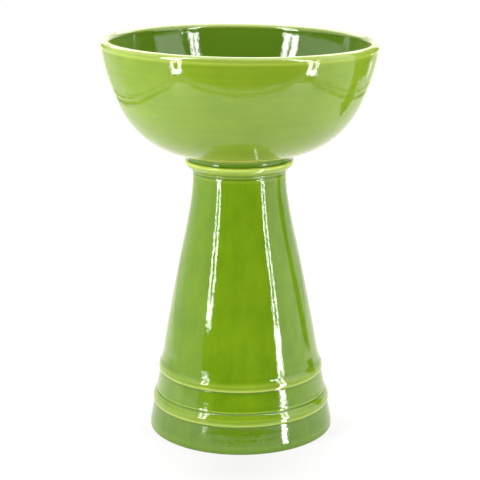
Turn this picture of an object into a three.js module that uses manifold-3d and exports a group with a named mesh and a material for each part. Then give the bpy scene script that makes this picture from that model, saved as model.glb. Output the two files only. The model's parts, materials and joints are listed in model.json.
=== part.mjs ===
// Glazed ceramic pedestal drinking fountain: a round basin that stands on a tapering pedestal with a
// flared collar and two raised bands. A waste fitting clamps the basin down through the pedestal's deck,
// and a self-closing push-button bubbler stands on its strainer.
// Millimetres, +Z up, origin at the centre of the foot, on the floor. The user stands on the -Y side.

import * as THREE from 'three';
import { mergeVertices } from 'three/addons/utils/BufferGeometryUtils.js';
import Module from 'manifold-3d';

const wasm = await Module();
wasm.setup();

// ---- Driving dimensions -------------------------------------------------------------------------

const CLEARANCE = 0.3;          // gap between pieces that touch on the real object
const TURNED_SEGMENTS = 40;     // around the basin and the pedestal
const FITTING_SEGMENTS = 20;    // around the fittings, all alike so that their flats line up
const HEX_SEGMENTS = 6;

// Basin
const RIM_Z = 600.5;            // height of the centre of the rounded rim
const RIM_RADIUS = 210;         // to the outside of the rim
const RIM_ROUND = 7.5;          // half of the wall's thickness at the rim
const BASIN_DEPTH_OUTSIDE = 168.2;
const BASIN_DEPTH_INSIDE = 155;
const BASIN_ROUNDNESS_R = 3.63; // the outline is (r / a)^3.63 + (depth / b)^1.5 = 1
const BASIN_ROUNDNESS_Z = 1.5;
const BASIN_HOLE_RADIUS = 30.2;
const DRAIN_RECESS_RADIUS = 49;
const DRAIN_RECESS_DEPTH = 3;
const FOOT_RING_OUTER = 77.5;
const FOOT_RING_INNER = 60;
const FOOT_RING_HEIGHT = 10;    // below the underside of the basin
const FOOT_RING_COVE = 7;       // radius of the hollow where its outer wall meets the bowl
const BEDDING_GAP = 3;          // between the foot ring and the deck

// Pedestal
const FLOOR_RADIUS = 144;       // widest part, at the floor
const FLOOR_ROUND = 2.5;
const FOOT_INNER = 130;         // inside edge of the face that rests on the floor
const LOWER_BAND_Z = 43;        // sharp lower edge of each raised band
const UPPER_BAND_Z = 94.5;
const LOWER_BAND_RADIUS = 138.9;
const UPPER_BAND_RADIUS = 129;
const BAND_PROFILE = [          // [outwards, upwards] from a band's lower edge, from the belt below it
  [-1.7, -2], [-0.3, -0.2], [0, 2], [-1, 8], [-2.8, 12], [-4.8, 16],
];
const RIDGE_Z = 62;             // fine raised line above the lower band
const RIDGE_RADIUS = 133.4;
const RIDGE_PROFILE = [[-0.5, -2], [0, 0], [-1.2, 2.6]];
const CONE_TOP_Z = 404.5;
const CONE_TOP_RADIUS = 72.2;
const CONE_FOOT_Z = 122.5;
const CONE_FOOT_RADIUS = 121.2;
const CONE_FOOT_SLOPE = 0.164;  // how much the radius grows per millimetre downwards
const CONE_FOOT_PULL = 162;     // how far the side keeps the slope of its foot
const CONE_TOP_PULL = 55;       // how far down from its top it stays upright
const CREASE_RADIUS = 71;       // narrowest line, between the cone and the collar
const COLLAR_PROFILE = [        // [outwards, upwards] from the crease and the top of the cone
  [0, 3], [0.5, 6], [4, 8], [9, 12], [11.7, 15.2],
];
const LIP_RADIUS = 84.2;        // outside of the collar's lip
const LIP_Z = 424.2;            // centre of the lip's rounding
const LIP_ROUND = 3;
const DECK_HOLE_RADIUS = 30.2;
const DECK_THICKNESS = 14;
const NECK_INNER = 59;          // bore of the pedestal just under the deck

// Waste fitting
const SHANK_RADIUS = 29;        // outside of the threaded waste shank
const SHANK_BORE = 25.5;
const SHANK_END_Z = 378;
const FLANGE_RADIUS = 46;
const FLANGE_THICKNESS = 3;
const FLANGE_EDGE = 1.6;        // its thickness at the outer edge
const GASKET_THICKNESS = 1.5;
const STRAINER_REBATE = 2.6;    // depth of the strainer's seat in the flange
const STRAINER_RADIUS = 27.6;
const STRAINER_THICKNESS = 2;
const STRAINER_HOLE_RADIUS = 3;
const STRAINER_HOLE_COUNT = 12;
const STRAINER_HOLE_CIRCLE = 21;
const SPIDER_ARM_COUNT = 3;
const SPIDER_DEPTH = 9;
const SPIDER_ARM_WIDTH = 5;
const SPIDER_BOSS_RADIUS = 14;
const CLAMP_RADIUS = 56;
const CLAMP_WASHER_THICKNESS = 2.5;
const CLAMP_PLATE_THICKNESS = 3;
const NUT_RADIUS = 38;          // to the corners of the large hexagonal nuts
const NUT_THICKNESS = 8;
const CUT = 1;                  // how far a cutter runs past the face it opens
const TEE_RADIUS = 26.5;
const TEE_BORE = 23;
const TEE_WALL = 4;             // thickness of its collar and its floor
const TEE_FLOOR_Z = 328;
const TEE_WASHER_THICKNESS = 2;
const WASTE_Y = 46;             // the waste pipe runs down behind the supply riser
const WASTE_RADIUS = 16;
const WASTE_BORE = 14;
const BRANCH_Z = 350;
const BRANCH_START_Y = 12;
const BRANCH_BEND = 24;         // size of the branch's quarter bend
const BRANCH_END_Z = 312;
const BRANCH_RADIUS = 17;
const SLIP_NUT_RADIUS = 22;
const PIPE_END_Z = 8;           // both pipes stop just above the floor

// Supply
const RISER_RADIUS = 6;
const RISER_BORE = 4;
const RISER_SOCKET_DEPTH = 12;  // in the bubbler's shank
const GLAND_BOSS_END_Z = 308;
const GLAND_BOSS_RADIUS = 13;
const GLAND_NUT_RADIUS = 18;
const PACKING_RADIUS = 10;
const PACKING_DEPTH = 8;
const INLET_TOP_Z = 58;
const INLET_THREAD_RADIUS = 10.5;
const INLET_HEX_RADIUS = 13;
const INLET_NECK_RADIUS = 10;
const INLET_SOCKET_DEPTH = 9;
const FERRULE_LENGTH = 4;

// Bubbler; its column stands on the strainer and its valve lies along Y, with the button at -Y
const BUBBLER_SHANK_RADIUS = 9;
const BUBBLER_SHANK_LENGTH = 34;
const BUBBLER_BASE_RADIUS = 18;
const BUBBLER_BASE_THICKNESS = 3;
const BUBBLER_NUT_RADIUS = 15;
const BASE_WASHER_RADIUS = 16;
const BASE_WASHER_THICKNESS = 1.2;
const COLUMN_RADIUS = 12.5;
const COLUMN_TOP_RISE = 53;     // above the strainer
const SPIGOT_RADIUS = 8;        // the nozzle screws onto this
const SPIGOT_HEIGHT = 9;
const SPIGOT_BORE = 2.5;
const OUTLET_RADIUS = 2.2;      // slanting way from the valve up to the spigot
const OUTLET_START_Y = -12;
const VALVE_RISE = 29;          // valve axis above the strainer
const CHAMBER_FRONT_Y = -22;
const CHAMBER_BACK_Y = 22;
const CHAMBER_BORE = 8;
const SEAT_FRONT_Y = -8;
const SEAT_BACK_Y = -5;
const SEAT_BORE = 4;
const BUTTON_RADIUS = 8.9;
const BUTTON_FRONT_Y = -42;
const BUTTON_EDGE = 1.5;        // chamfer round the button and the bonnet
const BONNET_FRONT_Y = -33;
const BONNET_BACK_Y = -15;
const BONNET_WALL = 2.5;
const BONNET_LIP = 3;
const BUTTON_FLANGE = 2;        // thickness of the flange that keeps the button behind the bonnet's lip
const BUTTON_FLANGE_RADIUS = 11.3;
const STEM_RADIUS = 2.5;
const GUIDE_FRONT_Y = -21.5;
const GUIDE_BACK_Y = -15;
const DISC_RADIUS = 7;
const DISC_THICKNESS = 3;
const SPRING_WIRE_RADIUS = 0.7;
const SPRING_COIL_RADIUS = 5;
const SPRING_TURNS = 5;
const PLUG_Y = 15;
const PLUG_HEAD_Y = 22.3;
const PLUG_HEAD_RADIUS = 11;
const PLUG_END_Y = 27;
const REGULATOR_RADIUS = 3;
const REGULATOR_RISE = 15.5;
const REGULATOR_TIP_X = 4.5;
const REGULATOR_HEAD_RADIUS = 5;
const REGULATOR_HEAD_X = 13;
const REGULATOR_END_X = 16;
const SLOT_WIDTH = 1.2;
const GUARD_RADIUS = 19;
const GUARD_WALL = 2;
const GUARD_FLOOR = 2.5;
const GUARD_RISE = 44;          // top of the mouth guard above the column's shoulder
const GUARD_CUT_RISE = 11;      // its mouth starts here above its floor
const GUARD_CUT_Y = 2;
const GUARD_CUT_DEGREES = 28;   // and slopes back by this much
const NOZZLE_PROFILE = [[11, 0], [11, 3], [9.5, 9], [6.5, 14], [0, 15]];
const JET_RADIUS = 1.8;
const JET_REACH_Y = -7;         // the jet leans this far towards the user over its rise
const JET_LOW = 4;
const JET_HIGH = 20;

// Heights that follow from them
const basinUndersideZ = RIM_Z - BASIN_DEPTH_OUTSIDE;
const basinFloorZ = RIM_Z - BASIN_DEPTH_INSIDE;
const recessZ = basinFloorZ - DRAIN_RECESS_DEPTH;
const footRingZ = basinUndersideZ - FOOT_RING_HEIGHT;
const deckZ = footRingZ - BEDDING_GAP;
const deckUndersideZ = deckZ - DECK_THICKNESS;
const flangeZ = recessZ + CLEARANCE + GASKET_THICKNESS + CLEARANCE;
const flangeTopZ = flangeZ + FLANGE_THICKNESS;
const spiderZ = flangeTopZ - STRAINER_REBATE;
const strainerZ = spiderZ + CLEARANCE;
const strainerTopZ = strainerZ + STRAINER_THICKNESS;
const columnTopZ = strainerTopZ + COLUMN_TOP_RISE;
const valveZ = strainerTopZ + VALVE_RISE;
const shankEndZ = spiderZ - BUBBLER_SHANK_LENGTH;
const regulatorZ = strainerTopZ + REGULATOR_RISE;
const teeCollarZ = SHANK_END_Z - TEE_WASHER_THICKNESS - 2 * CLEARANCE;
const teeCollarUndersideZ = teeCollarZ - TEE_WALL;
const clampWasherZ = deckUndersideZ - CLEARANCE;
const clampPlateZ = clampWasherZ - CLAMP_WASHER_THICKNESS - CLEARANCE;
const wasteNutZ = clampPlateZ - CLAMP_PLATE_THICKNESS - CLEARANCE;
const slipWasherZ = BRANCH_END_Z - CLEARANCE;
const slipWasherEndZ = slipWasherZ - 2;
const ferruleZ = INLET_TOP_Z + CLEARANCE;
const ferruleTopZ = ferruleZ + FERRULE_LENGTH;
const baseWasherZ = strainerTopZ + CLEARANCE;
const bubblerBaseZ = baseWasherZ + BASE_WASHER_THICKNESS + CLEARANCE;
const bubblerNutZ = spiderZ - SPIDER_DEPTH - CLEARANCE;

// Places along the valve that follow from them
const buttonFlangeY = BONNET_FRONT_Y + BONNET_LIP + CLEARANCE;
const stemFrontY = buttonFlangeY + BUTTON_FLANGE + CLEARANCE;
const discY = SEAT_BACK_Y + CLEARANCE;
const springStartY = discY + DISC_THICKNESS + CLEARANCE;

// ---- Materials ----------------------------------------------------------------------------------

function finish(color, roughness, metalness) {
  return new THREE.MeshStandardMaterial({ color, roughness, metalness });
}

const GLAZE = finish(0x7fa81f, 0.08, 0);
const CHROME = finish(0xd8dadc, 0.12, 1);
const BRASS = finish(0xb8924a, 0.35, 1);
const STEEL = finish(0x9a9c9e, 0.4, 1);
const RUBBER = finish(0x1d1d1e, 0.8, 0);

// ---- Geometry helpers ---------------------------------------------------------------------------

// A closed triangle mesh whose corners are shared and which has no empty triangles.
function closedMesh(geometry) {
  geometry.deleteAttribute('normal');
  geometry.deleteAttribute('uv');
  const merged = mergeVertices(geometry);
  const kept = [];
  for (let i = 0; i < merged.index.count; i += 3) {
    const corners = [merged.index.getX(i), merged.index.getX(i + 1), merged.index.getX(i + 2)];
    if (new Set(corners).size === 3) kept.push(...corners);
  }
  merged.setIndex(kept);
  return merged;
}

function toSolid(geometry) {
  const mesh = closedMesh(geometry.clone());
  return new wasm.Manifold(new wasm.Mesh({
    numProp: 3,
    vertProperties: new Float32Array(mesh.attributes.position.array),
    triVerts: new Uint32Array(mesh.index.array),
  }));
}

function toGeometry(solid) {
  const mesh = solid.getMesh();
  const geometry = new THREE.BufferGeometry();
  geometry.setAttribute('position', new THREE.BufferAttribute(new Float32Array(mesh.vertProperties), 3));
  geometry.setIndex(Array.from(mesh.triVerts));
  return geometry;
}

// The first geometry with the added ones joined to it and the removed ones cut from it.
function carved(base, { added = [], removed = [] }) {
  let solid = toSolid(base);
  for (const geometry of added) solid = solid.add(toSolid(geometry));
  for (const geometry of removed) solid = solid.subtract(toSolid(geometry));
  return toGeometry(solid);
}

// A closed [radius, height] outline turned about the Z axis.
function turned(outline, segments = FITTING_SEGMENTS) {
  const points = outline.map(([r, z]) => new THREE.Vector2(r, z));
  if (THREE.ShapeUtils.isClockWise(points)) points.reverse();
  if (points.every((point) => point.x > 0)) points.push(points[0].clone());
  return closedMesh(new THREE.LatheGeometry(points, segments).rotateX(Math.PI / 2));
}

// A plain ring with a rectangular section.
function ring(inner, outer, low, high, segments = FITTING_SEGMENTS) {
  return turned([[inner, low], [outer, low], [outer, high], [inner, high]], segments);
}

// A solid rod along Z.
function rod(radius, low, high, segments = FITTING_SEGMENTS) {
  return turned([[0, low], [radius, low], [radius, high], [0, high]], segments);
}

// A hexagonal nut whose round bore is stepped: [[boreRadius, low, high], ...] from bottom to top.
function hexNut(cornerRadius, low, high, bores) {
  const cutters = bores.map(([radius, from, to]) => rod(radius, from, to));
  return carved(rod(cornerRadius, low, high, HEX_SEGMENTS), { removed: cutters });
}

function arc(r, z, radius, fromDegrees, toDegrees, steps) {
  return Array.from({ length: steps + 1 }, (_, i) => {
    const angle = THREE.MathUtils.degToRad(fromDegrees + (toDegrees - fromDegrees) * i / steps);
    return [r + radius * Math.cos(angle), z + radius * Math.sin(angle)];
  });
}

// Points on the basin's rounded outline, from its rim down to the given radius.
function basinOutline(halfWidth, depth, endRadius, steps) {
  const endAngle = Math.acos(Math.pow(endRadius / halfWidth, BASIN_ROUNDNESS_R / 2));
  return Array.from({ length: steps }, (_, i) => {
    const angle = endAngle * (i + 1) / steps;
    const radius = halfWidth * Math.pow(Math.cos(angle), 2 / BASIN_ROUNDNESS_R);
    return [radius, RIM_Z - depth * Math.pow(Math.sin(angle), 2 / BASIN_ROUNDNESS_Z)];
  });
}

// Lays a piece that was made along Z along the valve's axis, its Z pointing to the user's side (-Y).
function alongValve(geometry) {
  return geometry.rotateX(Math.PI / 2).translate(0, 0, valveZ);
}

// The same for an outline given as [radius, y].
function turnedAboutValve(outline, segments = FITTING_SEGMENTS) {
  return alongValve(turned(outline.map(([r, y]) => [r, -y]), segments));
}

// A solid rod along the valve's axis, between two places on Y.
function rodAlongValve(radius, frontY, backY, segments = FITTING_SEGMENTS) {
  return turnedAboutValve([[0, frontY], [radius, frontY], [radius, backY], [0, backY]], segments);
}

// ---- Ceramic pieces -----------------------------------------------------------------------------

function basin() {
  const outside = basinOutline(RIM_RADIUS - 0.4, BASIN_DEPTH_OUTSIDE, FOOT_RING_OUTER + FOOT_RING_COVE, 11);
  const inside = basinOutline(RIM_RADIUS - 2 * RIM_ROUND, BASIN_DEPTH_INSIDE, DRAIN_RECESS_RADIUS + 3, 9);
  const [coveR, coveTopZ] = outside[outside.length - 1];
  return turned([
    [BASIN_HOLE_RADIUS, recessZ],
    [DRAIN_RECESS_RADIUS, recessZ],
    ...inside.reverse(),
    ...arc(RIM_RADIUS - RIM_ROUND, RIM_Z, RIM_ROUND, 180, 0, 6),
    ...outside,
    ...arc(coveR, coveTopZ - FOOT_RING_COVE, FOOT_RING_COVE, 90, 180, 3).slice(1),
    [FOOT_RING_OUTER, footRingZ],
    [FOOT_RING_INNER, footRingZ],
    [FOOT_RING_INNER, basinUndersideZ],
    [BASIN_HOLE_RADIUS, basinUndersideZ],
  ], TURNED_SEGMENTS);
}

// Outline points given by their steps outwards and upwards from a place on the outline.
function profileAt(r, z, steps) {
  return steps.map(([outwards, upwards]) => [r + outwards, z + upwards]);
}

// The S-shaped side of the cone, from the upper band to the neck.
function coneSide(steps) {
  const foot = new THREE.Vector2(CONE_FOOT_RADIUS, CONE_FOOT_Z);
  const top = new THREE.Vector2(CONE_TOP_RADIUS, CONE_TOP_Z);
  const curve = new THREE.CubicBezierCurve(
    foot,
    new THREE.Vector2(foot.x - CONE_FOOT_SLOPE * CONE_FOOT_PULL, foot.y + CONE_FOOT_PULL),
    new THREE.Vector2(top.x, top.y - CONE_TOP_PULL),
    top,
  );
  return curve.getPoints(steps).map((point) => [point.x, point.y]);
}

function pedestal() {
  const lipCentre = LIP_RADIUS - LIP_ROUND;
  return turned([
    [FOOT_INNER, 0],
    [FLOOR_RADIUS - FLOOR_ROUND, 0],
    [FLOOR_RADIUS, FLOOR_ROUND],
    ...profileAt(LOWER_BAND_RADIUS, LOWER_BAND_Z, BAND_PROFILE),
    ...profileAt(RIDGE_RADIUS, RIDGE_Z, RIDGE_PROFILE),
    ...profileAt(UPPER_BAND_RADIUS, UPPER_BAND_Z, BAND_PROFILE),
    ...coneSide(8),
    ...profileAt(CREASE_RADIUS, CONE_TOP_Z, COLLAR_PROFILE),
    ...arc(lipCentre, LIP_Z, LIP_ROUND, 0, 180, 4),
    [lipCentre - LIP_ROUND, deckZ],
    [DECK_HOLE_RADIUS, deckZ],
    [DECK_HOLE_RADIUS, deckUndersideZ],
    [NECK_INNER, deckUndersideZ],
  ], TURNED_SEGMENTS);
}

function beddingRing() {
  return ring(FOOT_RING_INNER + 1, FOOT_RING_OUTER - 1, deckZ + CLEARANCE, footRingZ - CLEARANCE);
}

// ---- Waste fitting ------------------------------------------------------------------------------

// Flange, threaded shank and the three-armed spider that carries the bubbler.
function wasteBody() {
  const rebateRadius = STRAINER_RADIUS + 0.4;
  const shell = turned([
    [SHANK_BORE, SHANK_END_Z],
    [SHANK_RADIUS, SHANK_END_Z],
    [SHANK_RADIUS, flangeZ],
    [FLANGE_RADIUS, flangeZ],
    [FLANGE_RADIUS - 1, flangeZ + FLANGE_EDGE],
    [rebateRadius + 6, flangeTopZ],
    [rebateRadius, flangeTopZ],
    [rebateRadius, spiderZ],
    [SHANK_BORE, spiderZ],
  ]);
  const boss = rod(SPIDER_BOSS_RADIUS, spiderZ - SPIDER_DEPTH, spiderZ);
  const armLength = SHANK_BORE + 1;
  const arms = Array.from({ length: SPIDER_ARM_COUNT }, (_, i) => {
    const arm = new THREE.BoxGeometry(armLength, SPIDER_ARM_WIDTH, SPIDER_DEPTH);
    arm.translate(armLength / 2, 0, spiderZ - SPIDER_DEPTH / 2);
    return arm.rotateZ(Math.PI / 2 + i * 2 * Math.PI / SPIDER_ARM_COUNT);
  });
  const bossBore = rod(BUBBLER_SHANK_RADIUS + CLEARANCE, spiderZ - SPIDER_DEPTH - CUT, spiderZ + CUT);
  return carved(shell, { added: [boss, ...arms], removed: [bossBore] });
}

function strainerPlate() {
  const plate = new THREE.Shape().absarc(0, 0, STRAINER_RADIUS, 0, 2 * Math.PI);
  const centreHole = new THREE.Path().absarc(0, 0, BUBBLER_SHANK_RADIUS + 0.4, 0, 2 * Math.PI, true);
  plate.holes.push(centreHole);
  for (let i = 0; i < STRAINER_HOLE_COUNT; i += 1) {
    const angle = 2 * Math.PI * i / STRAINER_HOLE_COUNT;
    const x = STRAINER_HOLE_CIRCLE * Math.cos(angle);
    const y = STRAINER_HOLE_CIRCLE * Math.sin(angle);
    plate.holes.push(new THREE.Path().absarc(x, y, STRAINER_HOLE_RADIUS, 0, 2 * Math.PI, true));
  }
  const settings = { depth: STRAINER_THICKNESS, bevelEnabled: false, curveSegments: 8 };
  return closedMesh(new THREE.ExtrudeGeometry(plate, settings).translate(0, 0, strainerZ));
}

// The waste tee: a can under the shank, a swept branch to the waste pipe and a gland boss for the riser.
function wasteTee() {
  const outside = turned([
    [0, GLAND_BOSS_END_Z],
    [GLAND_BOSS_RADIUS, GLAND_BOSS_END_Z],
    [GLAND_BOSS_RADIUS, TEE_FLOOR_Z - TEE_WALL],
    [TEE_RADIUS, TEE_FLOOR_Z],
    [TEE_RADIUS, teeCollarUndersideZ],
    [SHANK_RADIUS, teeCollarUndersideZ],
    [SHANK_RADIUS, teeCollarZ],
    [0, teeCollarZ],
  ]);
  const teeFloorTopZ = TEE_FLOOR_Z + TEE_WALL;
  const inside = rod(TEE_BORE, teeFloorTopZ, SHANK_END_Z);
  const riserHole = rod(RISER_RADIUS + CLEARANCE, GLAND_BOSS_END_Z - CUT, teeFloorTopZ + CUT);
  const packingTopZ = GLAND_BOSS_END_Z + PACKING_DEPTH;
  const packingSeat = rod(PACKING_RADIUS + CLEARANCE, GLAND_BOSS_END_Z - CUT, packingTopZ);
  const branch = sweptBranch(BRANCH_RADIUS, BRANCH_END_Z);
  const branchBore = sweptBranch(WASTE_BORE, BRANCH_END_Z - 4 * CUT);
  return carved(outside, { added: [branch], removed: [inside, branchBore, riserHole, packingSeat] });
}

// A round bar from inside the tee, through a quarter bend, down to a height over the waste pipe.
function sweptBranch(radius, endZ) {
  const route = new THREE.CurvePath();
  const start = new THREE.Vector3(0, BRANCH_START_Y, BRANCH_Z);
  const bendStart = new THREE.Vector3(0, WASTE_Y - BRANCH_BEND, BRANCH_Z);
  const bendCorner = new THREE.Vector3(0, WASTE_Y, BRANCH_Z);
  const bendEnd = new THREE.Vector3(0, WASTE_Y, BRANCH_Z - BRANCH_BEND);
  route.add(new THREE.LineCurve3(start, bendStart));
  route.add(new THREE.QuadraticBezierCurve3(bendStart, bendCorner, bendEnd));
  route.add(new THREE.LineCurve3(bendEnd, new THREE.Vector3(0, WASTE_Y, endZ)));
  const section = new THREE.Shape().absarc(0, 0, radius, 0, 2 * Math.PI);
  const settings = { extrudePath: route, steps: 9, curveSegments: 7, bevelEnabled: false };
  return closedMesh(new THREE.ExtrudeGeometry(section, settings));
}

// ---- Bubbler ------------------------------------------------------------------------------------

function bubblerBody() {
  const spigotTopZ = columnTopZ + SPIGOT_HEIGHT;
  const column = turned([
    [0, shankEndZ],
    [BUBBLER_SHANK_RADIUS, shankEndZ],
    [BUBBLER_SHANK_RADIUS, bubblerBaseZ],
    [BUBBLER_BASE_RADIUS, bubblerBaseZ],
    [BUBBLER_BASE_RADIUS, bubblerBaseZ + BUBBLER_BASE_THICKNESS],
    [COLUMN_RADIUS, bubblerBaseZ + BUBBLER_BASE_THICKNESS + 5],
    [COLUMN_RADIUS, columnTopZ],
    [SPIGOT_RADIUS, columnTopZ],
    [SPIGOT_RADIUS, spigotTopZ],
    [0, spigotTopZ],
  ]);
  const chamber = rodAlongValve(COLUMN_RADIUS, CHAMBER_FRONT_Y, CHAMBER_BACK_Y);
  const outletStart = new THREE.Vector3(0, OUTLET_START_Y, valveZ);
  const outletEnd = new THREE.Vector3(0, 0, columnTopZ);
  const regulatorBore = rod(REGULATOR_RADIUS + CLEARANCE, 0, COLUMN_RADIUS + 6);
  regulatorBore.rotateY(Math.PI / 2).translate(0, 0, regulatorZ);
  return carved(column, {
    added: [chamber],
    removed: [
      rodAlongValve(CHAMBER_BORE, CHAMBER_FRONT_Y - CUT, SEAT_FRONT_Y),
      rodAlongValve(SEAT_BORE, SEAT_FRONT_Y - CUT, SEAT_BACK_Y + CUT),
      rodAlongValve(CHAMBER_BORE, SEAT_BACK_Y, CHAMBER_BACK_Y + CUT),
      rod(RISER_RADIUS + CLEARANCE, shankEndZ - CUT, shankEndZ + RISER_SOCKET_DEPTH),
      rod(RISER_BORE, shankEndZ, valveZ),
      tiltedRod(OUTLET_RADIUS, outletStart, outletEnd),
      rod(SPIGOT_BORE, columnTopZ - 2 * CUT, spigotTopZ + CUT),
      regulatorBore,
    ],
  });
}

// A rod between two points.
function tiltedRod(radius, from, to) {
  const along = to.clone().sub(from);
  const upwards = new THREE.Vector3(0, 0, 1);
  const turn = new THREE.Quaternion().setFromUnitVectors(upwards, along.clone().normalize());
  return rod(radius, 0, along.length()).applyQuaternion(turn).translate(from.x, from.y, from.z);
}

// A round cup that is clamped on the column's shoulder by its floor, and is open towards the user.
function mouthGuard() {
  const floorZ = columnTopZ + CLEARANCE;
  const topZ = columnTopZ + GUARD_RISE;
  const domeZ = topZ - GUARD_RADIUS;
  const mouthSize = 3 * GUARD_RADIUS;
  const shell = turned([
    [SPIGOT_RADIUS + CLEARANCE, floorZ],
    [SPIGOT_RADIUS + 5, floorZ],
    [GUARD_RADIUS, floorZ + 6],
    ...arc(0, domeZ, GUARD_RADIUS, 0, 90, 5),
    ...arc(0, domeZ, GUARD_RADIUS - GUARD_WALL, 90, 0, 5),
    [GUARD_RADIUS - GUARD_WALL, floorZ + 7],
    [SPIGOT_RADIUS + 4, floorZ + GUARD_FLOOR],
    [SPIGOT_RADIUS + CLEARANCE, floorZ + GUARD_FLOOR],
  ]);
  const mouth = new THREE.BoxGeometry(mouthSize, mouthSize, mouthSize);
  mouth.translate(0, -mouthSize / 2, mouthSize / 2);
  mouth.rotateX(THREE.MathUtils.degToRad(-GUARD_CUT_DEGREES));
  mouth.translate(0, GUARD_CUT_Y, floorZ + GUARD_CUT_RISE);
  return carved(shell, { removed: [mouth] });
}

function nozzle() {
  const lowZ = columnTopZ + CLEARANCE + GUARD_FLOOR + CLEARANCE;
  const body = turned([[0, lowZ], ...profileAt(0, lowZ, NOZZLE_PROFILE)]);
  const socketTopZ = columnTopZ + SPIGOT_HEIGHT + CLEARANCE;
  const socket = rod(SPIGOT_RADIUS + CLEARANCE, lowZ - CUT, socketTopZ);
  const jetStart = new THREE.Vector3(0, 0, lowZ + JET_LOW);
  const jetEnd = new THREE.Vector3(0, JET_REACH_Y, lowZ + JET_HIGH);
  return carved(body, { removed: [socket, tiltedRod(JET_RADIUS, jetStart, jetEnd)] });
}

function bonnet() {
  const threadRadius = COLUMN_RADIUS + CLEARANCE;
  const buttonHole = BUTTON_RADIUS + CLEARANCE;
  return turnedAboutValve([
    [threadRadius, BONNET_BACK_Y],
    [threadRadius + BONNET_WALL, BONNET_BACK_Y],
    [threadRadius + BONNET_WALL, BONNET_FRONT_Y + BUTTON_EDGE],
    [threadRadius + BONNET_WALL - BUTTON_EDGE, BONNET_FRONT_Y],
    [buttonHole, BONNET_FRONT_Y],
    [buttonHole, BONNET_FRONT_Y + BONNET_LIP],
    [threadRadius, BONNET_FRONT_Y + BONNET_LIP],
  ]);
}

// The button's rear flange keeps it behind the bonnet's lip.
function pushButton() {
  const flangeEndY = buttonFlangeY + BUTTON_FLANGE;
  return turnedAboutValve([
    [0, BUTTON_FRONT_Y],
    [BUTTON_RADIUS - BUTTON_EDGE, BUTTON_FRONT_Y],
    [BUTTON_RADIUS, BUTTON_FRONT_Y + BUTTON_EDGE],
    [BUTTON_RADIUS, buttonFlangeY],
    [BUTTON_FLANGE_RADIUS, buttonFlangeY],
    [BUTTON_FLANGE_RADIUS, flangeEndY],
    [0, flangeEndY],
  ]);
}

// The stem runs from the button, through its guide and the seat, to the disc.
function valveStem() {
  return rodAlongValve(STEM_RADIUS, stemFrontY, discY - CLEARANCE);
}

function stemGuide() {
  const stemHole = STEM_RADIUS + CLEARANCE;
  const outside = CHAMBER_BORE - CLEARANCE;
  return turnedAboutValve([
    [stemHole, GUIDE_FRONT_Y],
    [outside, GUIDE_FRONT_Y],
    [outside, GUIDE_BACK_Y],
    [stemHole, GUIDE_BACK_Y],
  ]);
}

function valveDisc() {
  return rodAlongValve(DISC_RADIUS, discY, discY + DISC_THICKNESS);
}

// A compression spring between the disc and the rear plug.
function valveSpring() {
  const low = springStartY + SPRING_WIRE_RADIUS + CLEARANCE;
  const high = PLUG_Y - SPRING_WIRE_RADIUS - CLEARANCE;
  class Helix extends THREE.Curve {
    getPoint(t) {
      const angle = 2 * Math.PI * SPRING_TURNS * t;
      const x = SPRING_COIL_RADIUS * Math.cos(angle);
      const z = valveZ + SPRING_COIL_RADIUS * Math.sin(angle);
      return new THREE.Vector3(x, low + (high - low) * t, z);
    }
  }
  const wire = new THREE.Shape().absarc(0, 0, SPRING_WIRE_RADIUS, 0, 2 * Math.PI);
  const steps = SPRING_TURNS * 8;
  const settings = { extrudePath: new Helix(), steps, curveSegments: 2, bevelEnabled: false };
  return closedMesh(new THREE.ExtrudeGeometry(wire, settings));
}

function rearPlug() {
  const threaded = rodAlongValve(CHAMBER_BORE - CLEARANCE, PLUG_Y, PLUG_HEAD_Y + 1.7);
  const head = rodAlongValve(PLUG_HEAD_RADIUS, PLUG_HEAD_Y, PLUG_END_Y, HEX_SEGMENTS);
  return carved(threaded, { added: [head] });
}

// A slotted screw that throttles the inlet; its head is on the bubbler's right-hand side.
function regulatorScrew() {
  const screw = turned([
    [0, REGULATOR_TIP_X],
    [REGULATOR_RADIUS, REGULATOR_TIP_X],
    [REGULATOR_RADIUS, REGULATOR_HEAD_X],
    [REGULATOR_HEAD_RADIUS, REGULATOR_HEAD_X],
    [REGULATOR_HEAD_RADIUS, REGULATOR_END_X],
    [0, REGULATOR_END_X],
  ]);
  const slot = new THREE.BoxGeometry(3 * REGULATOR_HEAD_RADIUS, SLOT_WIDTH, 2 * SLOT_WIDTH);
  slot.translate(0, 0, REGULATOR_END_X);
  const slotted = carved(screw, { removed: [slot] });
  return slotted.rotateY(Math.PI / 2).translate(0, 0, regulatorZ);
}

// ---- Hardware under the deck --------------------------------------------------------------------

function wasteLocknut() {
  const endZ = wasteNutZ - NUT_THICKNESS;
  return hexNut(NUT_RADIUS, endZ, wasteNutZ, [[SHANK_RADIUS + CLEARANCE, endZ - CUT, wasteNutZ + CUT]]);
}

// The nut that hangs the tee on the shank by the tee's collar.
function teeCouplingNut() {
  const collarZ = teeCollarUndersideZ - CLEARANCE;
  const endZ = collarZ - 3;
  const topZ = SHANK_END_Z + NUT_THICKNESS;
  return hexNut(NUT_RADIUS, endZ, topZ, [
    [TEE_RADIUS + CLEARANCE, endZ - CUT, collarZ + CUT],
    [SHANK_RADIUS + CLEARANCE, collarZ, topZ + CUT],
  ]);
}

function slipNut() {
  const endZ = BRANCH_END_Z - 10;
  const topZ = BRANCH_END_Z + NUT_THICKNESS;
  const stepZ = BRANCH_END_Z - 3;
  return hexNut(SLIP_NUT_RADIUS, endZ, topZ, [
    [WASTE_RADIUS + CLEARANCE, endZ - CUT, stepZ],
    [BRANCH_RADIUS + CLEARANCE, stepZ - 2 * CUT, topZ + CUT],
  ]).translate(0, WASTE_Y, 0);
}

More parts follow.
